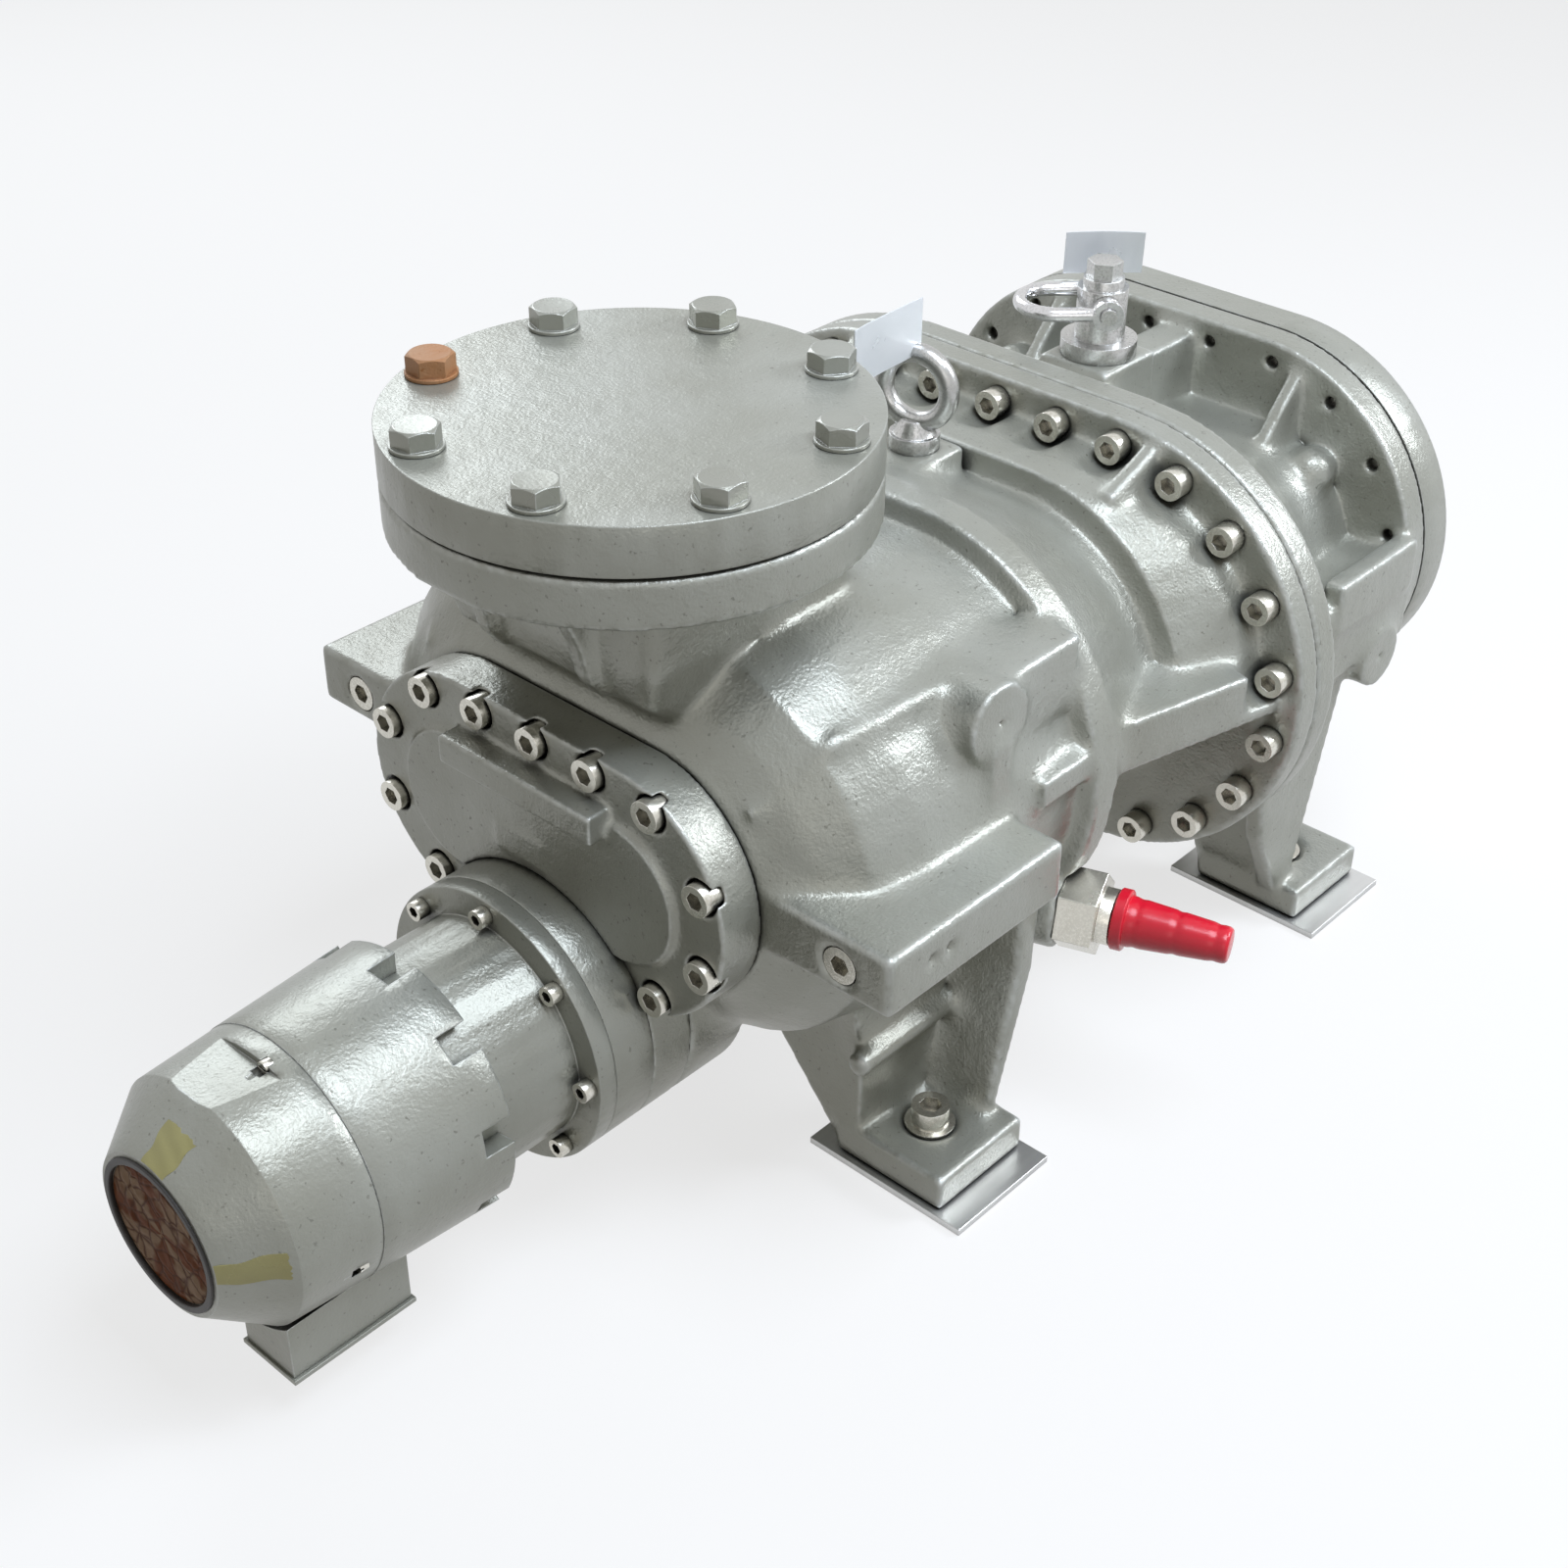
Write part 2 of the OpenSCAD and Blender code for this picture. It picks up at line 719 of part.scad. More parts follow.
module inlet_gasket() {
  color([0.12, 0.12, 0.13]) difference() {
    at(0, 0, inlet_face) cylinder(h = gasket_t, r = inlet_pcd_r - 13.5);
    at(0, 0, inlet_face - 1) cylinder(h = 9, r = inlet_port_r);
  }
}

module inlet_bolts() {
  color([0.68, 0.7, 0.65]) for (i = [0 : 7]) {
    a = 22.5 + 45 * i;
    at(inlet_pcd_r * cos(a), inlet_pcd_r * sin(a), 0) {
      translate([0, 0, inlet_top + 3]) rotate([0, 0, 12 * i]) cylinder(h = 13, r = 17.3, $fn = 6);
      translate([0, 0, inlet_top]) cylinder(h = 3, r = 18.5);
      translate([0, 0, inlet_under + 2]) cylinder(h = inlet_top - inlet_under, r = 10);
    }
  }
}

module main_bolts() {
  color([0.75, 0.75, 0.72]) at_main_bolts(x_seat - 16) socket_screw(8, 16, x_joint + 20 - x_seat);
}

module rear_cover() {
  color([0.73, 0.75, 0.7]) difference() {
    union() {
      slab(x_rear_joint, x_rear_end - x_rear_joint, rear_r);
      for (s = [-1, 1]) {
        ring(x_thrust + 36, x_rear_joint - x_thrust - 35, 76, 62, s * half_c);
      }
    }
    bar(x_rear_joint - 1, 100, 54, -half_c);
    bar(x_rear_joint - 1, 22, 54, half_c);
    along_oval(x_rear_joint - 1, 150, half_c, 20) cylinder(h = 60, r = 7);
    on_circle(x_rear_end - 20, 72, 6, 0, -half_c) cylinder(h = 30, r = 5);
  }
}

module rear_bolts() {
  color([0.6, 0.6, 0.57]) along_oval(x_rear_end + 10, 150, half_c, 20) mirror([0, 0, 1])
    socket_screw(6, 10, 56);
}

module seal_cover() {
  color([0.6, 0.62, 0.58]) difference() {
    bar(x_rear_end, 18, 86, -half_c);
    bar(x_rear_end - 1, 30, drive_r + 3, -half_c);
    on_circle(x_rear_end - 1, 72, 6, 0, -half_c) cylinder(h = 30, r = 5.5);
  }
}

module seal_bolts() {
  color([0.6, 0.6, 0.57]) on_circle(x_rear_end + 28, 72, 6, 0, -half_c) mirror([0, 0, 1])
    socket_screw(5, 10, 36);
}

module seal_seat() {
  color([0.25, 0.25, 0.27]) ring(x_rear_end - 14, 14, 54, drive_r + 2, -half_c);
}

module hex_adapter() {
  color([0.66, 0.67, 0.62]) difference() {
    union() {
      at_adapter(-20) cylinder(h = 40, r = 20);
      at_adapter(6) rotate([0, 0, 15]) cylinder(h = 30, r = 34, $fn = 6);
      at_adapter(30) cylinder(h = 16, r = 22);
      at_adapter(40) cylinder(h = 34, r = 15);
    }
    at_adapter(-21) cylinder(h = 100, r = 9);
  }
}

module red_cap() {
  color([0.85, 0.08, 0.14]) difference() {
    union() {
      at_adapter(47) cylinder(h = 9, r = 24);
      at_adapter(55) cylinder(h = 80, r1 = 20, r2 = 14);
    }
    at_adapter(46) cylinder(h = 32, r = 15.4);
  }
}

module port_plugs() {
  color([0.6, 0.6, 0.56]) both() difference() {
    across(x_rim + 2, -248, axis_z) cylinder(h = 23, r = 14);
    across(x_rim + 1, -248, axis_z) cylinder(h = 11, r = 8, $fn = 6);
  }
}

module eyebolt() {
  color([0.75, 0.75, 0.76]) {
    at(eye_x, 0, eye_top - 30) cylinder(h = 30, r = 10);
    at(eye_x, 0, eye_top) cylinder(h = 12, r = 20);
    at(eye_x, 0, eye_top + 12) cylinder(h = 12, r1 = 17, r2 = 11);
    eye_loop();
  }
}

module hoist_base() {
  color([0.7, 0.7, 0.72]) difference() {
    union() {
      at(hoist_x, 0, hoist_top - 30) cylinder(h = 40, r = 10);
      at(hoist_x, 0, hoist_top) cylinder(h = 14, r = 32);
      at(hoist_x, 0, hoist_top + 14) cylinder(h = 44, r = 21);
      at(hoist_x, 0, hoist_top + 58) cylinder(h = 8, r = 17);
      at(hoist_x, 0, hoist_top + 66) cylinder(h = 14, r = 15, $fn = 6);
      at(hoist_x, 0, hoist_top + 44) rotate([90, 0, 135]) translate([0, 0, -37])
        cylinder(h = 74, r = 7);
    }
  }
}

module hoist_ring() {
  color([0.82, 0.82, 0.84]) at_pin() {
    for (s = [-1, 1]) {
      difference() {
        union() {
          translate([0, s * 28, 0]) rotate([90, 0, 0]) cylinder(h = 12, r = 13, center = true);
          translate([0, s * 28, 0]) rotate([0, 90, 0]) cylinder(h = 40, r = 6);
        }
        translate([0, s * 28, 0]) rotate([90, 0, 0]) cylinder(h = 20, r = 7.1, center = true);
      }
    }
    translate([40, 0, 0]) rotate([0, 0, -90]) rotate_extrude(angle = 180)
      translate([28, 0]) circle(6, $fn = 24);
  }
}

// Middle of the hoist pin, Y along the pin and X towards the ring.
module at_pin() {
  at(hoist_x, 0, hoist_top + 44) rotate([0, 0, 135]) children();
}

// Body of the eye of the eyebolt.
module eye_loop() {
  at(eye_x, 0, eye_top + 49) rotate([90, 0, 102]) rotate_extrude($fn = 48)
    translate([28, 0]) circle(8, $fn = 24);
}

module notice_tags() {
  color([0.85, 0.86, 0.88]) {
    difference() {
      at(eye_x - 80, 0, eye_top + 76) cube([84, 1.5, 44]);
      eye_loop();
      at(eye_x - 70, 20, eye_top + 110) rotate([90, 0, 0]) cylinder(h = 29, r = 3);
    }
    at_pin() difference() {
      union() {
        translate([-38, -38.5, 10]) cube([66, 1.5, 36]);
        translate([-8, -38.5, -8]) cube([16, 1.5, 20]);
      }
      translate([-32, -30, 40]) rotate([90, 0, 0]) cylinder(h = 19, r = 3);
    }
  }
}

module base_plates() {
  color([0.8, 0.81, 0.82]) both() for (x = [front_x, rear_x]) {
    difference() {
      at(x - 55, -foot_y - 75, 0) cube([110, 150, plate_t]);
      at(x, -foot_y, -1) cylinder(h = 9, r = 11);
      at(x, -anchor_y, -1) cylinder(h = 9, r = 6.6);
    }
  }
}

module foot_bolts() {
  color([0.7, 0.7, 0.68]) both() for (x = [front_x, rear_x]) {
    difference() {
      at(x, -foot_y, 0) {
        cylinder(h = plate_t + 24, r = 10);
        translate([0, 0, plate_t + 24]) cylinder(h = 4, r = 20);
        translate([0, 0, plate_t + 28]) cylinder(h = 16, r = 15);
      }
      at(x, -foot_y, plate_t + 34) cylinder(h = 20, r = 9, $fn = 6);
    }
  }
}

module suction_sleeves() {
  color([0.8, 0.7, 0.45]) for (s = [-1, 1]) {
    ring(100, 95, sleeve_r, journal_r + run_play, s * half_c);
  }
}

module discharge_sleeves() {
  color([0.8, 0.7, 0.45]) for (s = [-1, 1]) {
    ring(x_joint + 8, 100, sleeve_r, journal_r + run_play, s * half_c);
  }
}

// Ring of a ball bearing with its groove, x0 from the bearing's shoulder.
module race(x0, l, ro, ri, y) {
  difference() {
    ring(x_thrust + x0, l, ro, ri, y);
    across(x_thrust + 18, y, axis_z) rotate_extrude() translate([57, 0]) circle(11.1);
  }
}

module thrust_outers() {
  color([0.55, 0.56, 0.58]) for (s = [-1, 1]) {
    race(0, 36, 76, 62, s * half_c);
  }
}

module thrust_balls() {
  color([0.7, 0.71, 0.73]) for (s = [-1, 1]) {
    on_circle(x_thrust + 18, 57, 12, 0, s * half_c) sphere(11);
  }
}

module piston_sleeve() {
  color([0.8, 0.7, 0.45]) ring(-50, 45, sleeve_r, 46 + run_play, -half_c);
}

module male_rotor() {
  color([0.6, 0.62, 0.64]) across(rotor_x, -half_c, axis_z) difference() {
    linear_extrude(height = rotor_len, twist = -male_wrap, slices = 20) {
      circle(male_pitch - mesh_play, $fn = 48);
      for (i = [0 : 3]) {
        rotate(90 * i) translate([male_pitch, 0]) circle(lobe_r - mesh_play, $fn = 24);
      }
    }
    translate([0, 0, -1]) cylinder(h = rotor_len + 2, r = core_r, $fn = 48);
  }
}

module female_rotor() {
  color([0.58, 0.6, 0.62]) across(rotor_x, half_c, axis_z) difference() {
    linear_extrude(height = rotor_len, twist = male_wrap / 1.5, slices = 20) difference() {
      circle(female_pitch, $fn = 60);
      for (i = [0 : 5]) {
        rotate(60 * i) translate([female_pitch, 0]) circle(lobe_r + 0.4, $fn = 24);
      }
    }
    translate([0, 0, -1]) cylinder(h = rotor_len + 2, r = core_r, $fn = 48);
  }
}

module male_shaft() {
  color([0.62, 0.63, 0.64]) difference() {
    union() {
      bar(-40, 36, 30, -half_c);
      bar(-5, 106, thrust_seat_r, -half_c);
      bar(100, rotor_x - 100, journal_r, -half_c);
      bar(rotor_x, rotor_len, core_r, -half_c, $fn = 48);
      bar(rotor_x + rotor_len, x_thrust - rotor_x - rotor_len, journal_r, -half_c);
      bar(x_thrust, 102, thrust_seat_r, -half_c);
      bar(x_thrust + 101, x_shaft_step - x_thrust - 101, drive_r + 1, -half_c);
      bar(x_shaft_step - 1, x_shaft_end - x_shaft_step - 3, drive_r, -half_c);
      across(x_shaft_end - 4, -half_c, axis_z) cylinder(h = 4, r1 = drive_r, r2 = drive_r - 3);
    }
    across(x_shaft_end - 90, -half_c, axis_z) rotate([0, 0, 126]) translate([drive_r - 7.5, -10, 0])
      cube([20, 20, 100]);
  }
}

module female_shaft() {
  color([0.62, 0.63, 0.64]) {
    bar(92, rotor_x - 92, journal_r, half_c);
    bar(rotor_x, rotor_len, core_r, half_c);
    bar(rotor_x + rotor_len, x_thrust - rotor_x - rotor_len, journal_r, half_c);
    bar(x_thrust, 72, thrust_seat_r, half_c);
  }
}

module balance_piston() {
  color([0.6, 0.61, 0.62]) ring(-36, 26, 46, 30, -half_c);
}

module male_thrust_ring() {
  color([0.55, 0.56, 0.58]) race(4, 28, 52, thrust_seat_r, -half_c);
}

module female_thrust_ring() {
  color([0.55, 0.56, 0.58]) race(4, 28, 52, thrust_seat_r, half_c);
}

module male_lock_nut() {
  color([0.5, 0.5, 0.5]) ring(x_thrust + 32, 18, 52, thrust_seat_r, -half_c);
}

module female_lock_nut() {
  color([0.5, 0.5, 0.5]) ring(x_thrust + 32, 18, 52, thrust_seat_r, half_c);
}

module seal_collar() {
  color([0.3, 0.3, 0.32]) ring(x_rear_joint + 2, 19.8, 50, drive_r + 1, -half_c);
}

module slide_valve() {
  color([0.64, 0.62, 0.55]) difference() {
    union() {
      bar(x_rotor, x_joint - x_rotor, slide_r, 0, slide_z);
      crest(x_joint - x_rotor, 10, 15);
    }
    bar(x_rotor - 1, 400, male_tip + bore_gap, -half_c);
    bar(x_rotor - 1, 400, female_pitch + bore_gap, half_c);
    bar(x_rotor - 1, 60, 16, 0, slide_z);
    bar(x_rotor + 70, 300, 36, 0, slide_z);
  }
}

module unloader_rod() {
  color([0.66, 0.67, 0.68]) difference() {
    bar(x_rod, x_rotor + 59 - x_rod, 16, 0, slide_z);
    bar(x_rod - 1, x_rod_bore - x_rod + 1, 8.3, 0, slide_z);
  }
}

module unloader_piston() {
  color([0.6, 0.6, 0.58]) difference() {
    bar(-128, 30, cyl_r - run_play, 0, slide_z);
    bar(-129, 60, 16, 0, slide_z);
  }
}

main_casing();
head_casing();
end_cover();
end_cover_bolts();
unloader_cylinder();
unloader_screws();
indicator_neck();
indicator_housing();
indicator_cap();
cap_screws();
window_glass();
window_ring();
window_film();
dial();
terminal_box();
terminal_lid();
lid_screws();
cable_gland();
inlet_blind();
inlet_gasket();
inlet_bolts();
main_bolts();
rear_cover();
rear_bolts();
seal_cover();
seal_bolts();
seal_seat();
hex_adapter();
red_cap();
port_plugs();
eyebolt();
hoist_base();
hoist_ring();
notice_tags();
base_plates();
foot_bolts();
suction_sleeves();
discharge_sleeves();
thrust_outers();
thrust_balls();
piston_sleeve();
male_rotor();
male_shaft();
balance_piston();
male_thrust_ring();
male_lock_nut();
seal_collar();
female_rotor();
female_shaft();
female_thrust_ring();
female_lock_nut();
slide_valve();
unloader_rod();
unloader_piston();
cam_shaft();
pointer();
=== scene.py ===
"""Screw compressor block: finishes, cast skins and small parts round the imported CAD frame."""

import json
import logging
import math
import random
from collections.abc import Callable
from dataclasses import dataclass, field
from enum import Enum

import bmesh
import bpy
import numpy as np
from mathutils import Matrix, Vector, noise
from mathutils.bvhtree import BVHTree
from mathutils.kdtree import KDTree


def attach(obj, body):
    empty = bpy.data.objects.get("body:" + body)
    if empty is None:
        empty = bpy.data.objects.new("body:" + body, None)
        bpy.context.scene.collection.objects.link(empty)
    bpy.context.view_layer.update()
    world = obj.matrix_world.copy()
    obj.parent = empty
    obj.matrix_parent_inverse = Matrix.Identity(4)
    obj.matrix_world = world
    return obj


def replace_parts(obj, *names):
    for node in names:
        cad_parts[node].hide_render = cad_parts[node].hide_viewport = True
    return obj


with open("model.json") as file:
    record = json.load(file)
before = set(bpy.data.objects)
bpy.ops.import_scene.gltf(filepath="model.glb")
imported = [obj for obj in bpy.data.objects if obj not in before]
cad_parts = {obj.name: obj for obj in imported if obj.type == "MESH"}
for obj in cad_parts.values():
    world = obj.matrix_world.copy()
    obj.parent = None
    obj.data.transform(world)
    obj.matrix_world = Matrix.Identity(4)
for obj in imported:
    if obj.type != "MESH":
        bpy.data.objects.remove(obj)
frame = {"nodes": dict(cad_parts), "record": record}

LOG = logging.getLogger("compressor")
MM = 0.001
INLET_X = -342.5
JOIN_REACH = 0.00002
HOUSING = "housing"
Socket = bpy.types.NodeSocket
Colour = tuple[float, float, float]


def at(x: float, y: float, z: float) -> Vector:
    """A point in metres.

    Args:
        x: Millimetres from the inlet flange axis towards the drive end.
        y: Millimetres from the middle plane.
        z: Millimetres above the floor.

    Returns:
        The same point in the shared frame.
    """
    return Vector((INLET_X + x, y, z)) * MM


class Grain(Enum):
    """What a surface shows when seen from close by."""

    CAST = "rough casting under paint"
    SMOOTH = "machined face under paint"
    ZINC = "plated screw"
    GROUND = "ground or turned steel"
    ROLLED = "rolled sheet"
    MOULDED = "moulded plastic"
    FILM = "crinkled film"
    CLEAR = "clear sheet"


RELIEF_MM: dict[Grain, float] = {
    Grain.CAST: 1.1,
    Grain.SMOOTH: 0.5,
    Grain.ZINC: 0.3,
    Grain.GROUND: 0.2,
    Grain.ROLLED: 0.3,
    Grain.MOULDED: 0.2,
    Grain.FILM: 0.8,
    Grain.CLEAR: 0.2,
}
TONES = 9.0
PATCHES = 22.0
# Scale of the patches along edges that are painted lighter, partly as wear and partly as a painted
# highlight.
WORN_HIGHLIGHT_PATCHES = 90.0
# Share of the colour left where painted shade is darkest in corners and sockets.
CORNER_SHADE_SHARE = 0.07
SPECK_SHARE = 0.7
# Share of the film's colour left in the painted shade of its creases.
CREASE_SHADE_SHARE = 0.45
FILM_ARMS = 4
FILM_HEIGHT = 0.165


class Sheet:
    """A node material under construction."""

    def __init__(self, name: str) -> None:
        """Makes the material with its shader and output.

        Args:
            name: Name of the material.
        """
        self.material = bpy.data.materials.new(name)
        self.material.use_nodes = True
        self.tree = self.material.node_tree
        self.tree.nodes.clear()
        self.out = self.tree.nodes.new("ShaderNodeOutputMaterial")
        self.shader = self.tree.nodes.new("ShaderNodeBsdfPrincipled")
        self.tree.links.new(self.shader.outputs[0], self.out.inputs[0])
        self.place = self.tree.nodes.new("ShaderNodeTexCoord").outputs["Object"]

    def join(self, source: Socket, target: Socket) -> None:
        """Links two sockets."""
        self.tree.links.new(source, target)

    def stretched(self, scale: Colour) -> Socket:
        """Object coordinates with a scale of their own along each axis.

        Args:
            scale: Factors along X, Y and Z.

        Returns:
            The scaled coordinates.
        """
        node = self.tree.nodes.new("ShaderNodeMapping")
        self.join(self.place, node.inputs["Vector"])
        node.inputs["Scale"].default_value = scale
        return node.outputs[0]

    def cloud(self, scale: float, detail: float = 4.0, place: Socket | None = None) -> Socket:
        """Noise of a given scale per metre.

        Args:
            scale: Features per metre.
            detail: Number of finer layers.
            place: Coordinates to use, or None for the object's own.

        Returns:
            The noise factor, from 0 to 1.
        """
        node = self.tree.nodes.new("ShaderNodeTexNoise")
        self.join(place or self.place, node.inputs["Vector"])
        node.inputs["Scale"].default_value = scale
        node.inputs["Detail"].default_value = detail
        return node.outputs["Fac"]

    def cells(self, scale: float) -> Socket:
        """Distance from the edges of random cells.

        Args:
            scale: Cells per metre.

        Returns:
            The distance, 0 on an edge.
        """
        node = self.tree.nodes.new("ShaderNodeTexVoronoi")
        node.feature = "DISTANCE_TO_EDGE"
        self.join(self.place, node.inputs["Vector"])
        node.inputs["Scale"].default_value = scale
        return node.outputs["Distance"]

    def ramp(self, source: Socket, low: float, high: float) -> Socket:
        """Stretches a value so that low gives 0 and high gives 1.

        Args:
            source: The value.
            low: What gives 0.
            high: What gives 1.

        Returns:
            The stretched value, held between 0 and 1.
        """
        node = self.tree.nodes.new("ShaderNodeMapRange")
        self.join(source, node.inputs["Value"])
        node.inputs["From Min"].default_value = low
        node.inputs["From Max"].default_value = high
        return node.outputs[0]

    def spread(self, source: Socket, low: float, high: float) -> Socket:
        """Turns a share into values from low to high.

        Args:
            source: The share, from 0 to 1.
            low: The value for 0.
            high: The value for 1.

        Returns:
            The value.
        """
        node = self.tree.nodes.new("ShaderNodeMapRange")
        self.join(source, node.inputs["Value"])
        node.inputs["To Min"].default_value = low
        node.inputs["To Max"].default_value = high
        return node.outputs[0]

    def math(self, kind: str, a: Socket, b: Socket | float) -> Socket:
        """One arithmetic step.

        Args:
            kind: Blender's name of the operation.
            a: The first value.
            b: The second value, a socket or a number.

        Returns:
            The result.
        """
        node = self.tree.nodes.new("ShaderNodeMath")
        node.operation = kind
        self.join(a, node.inputs[0])
        if isinstance(b, (int, float)):
            node.inputs[1].default_value = b
        else:
            self.join(b, node.inputs[1])
        return node.outputs[0]

    def blend(self, factor: Socket, a: Socket | Colour, b: Socket | Colour) -> Socket:
        """Mixes two colours.

        Args:
            factor: 0 for a, 1 for b.
            a: The first colour.
            b: The second colour.

        Returns:
            The mixed colour.
        """
        node = self.tree.nodes.new("ShaderNodeMix")
        node.data_type = "RGBA"
        self.join(factor, node.inputs["Factor"])
        for value, name in ((a, "A"), (b, "B")):
            target = next(s for s in node.inputs if s.name == name and s.type == "RGBA")
            if isinstance(value, tuple):
                target.default_value = (*value, 1.0)
            else:
                self.join(value, target)
        return next(s for s in node.outputs if s.type == "RGBA")

    def rounded(self, radius: float) -> Socket:
        """Rounds off the edges in the surface's normal.

        Args:
            radius: Radius of the edges in metres.

        Returns:
            The new normal.
        """
        node = self.tree.nodes.new("ShaderNodeBevel")
        node.samples = 6
        node.inputs["Radius"].default_value = radius
        return node.outputs[0]

    def edges(self, normal: Socket) -> Socket:
        """Finds edges where a rounded normal leaves the true one.

        Args:
            normal: The rounded normal.

        Returns:
            0 on flat stretches and 1 on an edge.
        """
        true = self.tree.nodes.new("ShaderNodeNewGeometry").outputs["Normal"]
        node = self.tree.nodes.new("ShaderNodeVectorMath")
        node.operation = "DOT_PRODUCT"
        self.join(normal, node.inputs[0])
        self.join(true, node.inputs[1])
        return self.ramp(node.outputs["Value"], 0.985, 0.90)

    def shade_in_corners(self, reach: float) -> Socket:
        """Finds corners and sockets by their occlusion, for the shade painted into them.

        Args:
            reach: How far a wall counts, in metres.

        Returns:
            0 in the open and 1 deep inside.
        """
        node = self.tree.nodes.new("ShaderNodeAmbientOcclusion")
        node.samples = 6
        node.inputs["Distance"].default_value = reach
        return self.ramp(node.outputs["AO"], 0.66, 0.2)

    def arms(self, height: float, count: int) -> Socket:
        """Uneven strips that run out from an axis along X.

        Args:
            height: Height of the axis in metres.
            count: How many strips.

        Returns:
            1 in the middle of a strip and 0 between two.
        """
        split = self.tree.nodes.new("ShaderNodeSeparateXYZ")
        self.join(self.place, split.inputs[0])
        rise = self.math("SUBTRACT", split.outputs["Z"], height)
        turn = self.math("ARCTAN2", rise, split.outputs["Y"])
        turn = self.math("ADD", turn, self.spread(self.cloud(35, 3), -0.8, 0.8))
        wave = self.math("COSINE", self.math("MULTIPLY", turn, float(count)), 0.0)
        return self.ramp(wave, -0.3, 0.5)

    def ridges(self) -> Socket:
        """Outer edges of a dense mesh, 0 on flat stretches and 1 on an edge."""
        node = self.tree.nodes.new("ShaderNodeNewGeometry")
        return self.ramp(node.outputs["Pointiness"], 0.515, 0.58)

    def bump(self, height: Socket, strength: float, depth: float, normal: Socket | None) -> Socket:
        """Normal with a height pattern added.

        Args:
            height: The pattern.
            strength: Share of its effect.
            depth: Its depth in metres.
            normal: Normal to start from, or None for the surface's own.

        Returns:
            The new normal.
        """
        node = self.tree.nodes.new("ShaderNodeBump")
        node.inputs["Strength"].default_value = strength
        node.inputs["Distance"].default_value = depth
        self.join(height, node.inputs["Height"])
        if normal is not None:
            self.join(normal, node.inputs["Normal"])
        return node.outputs[0]


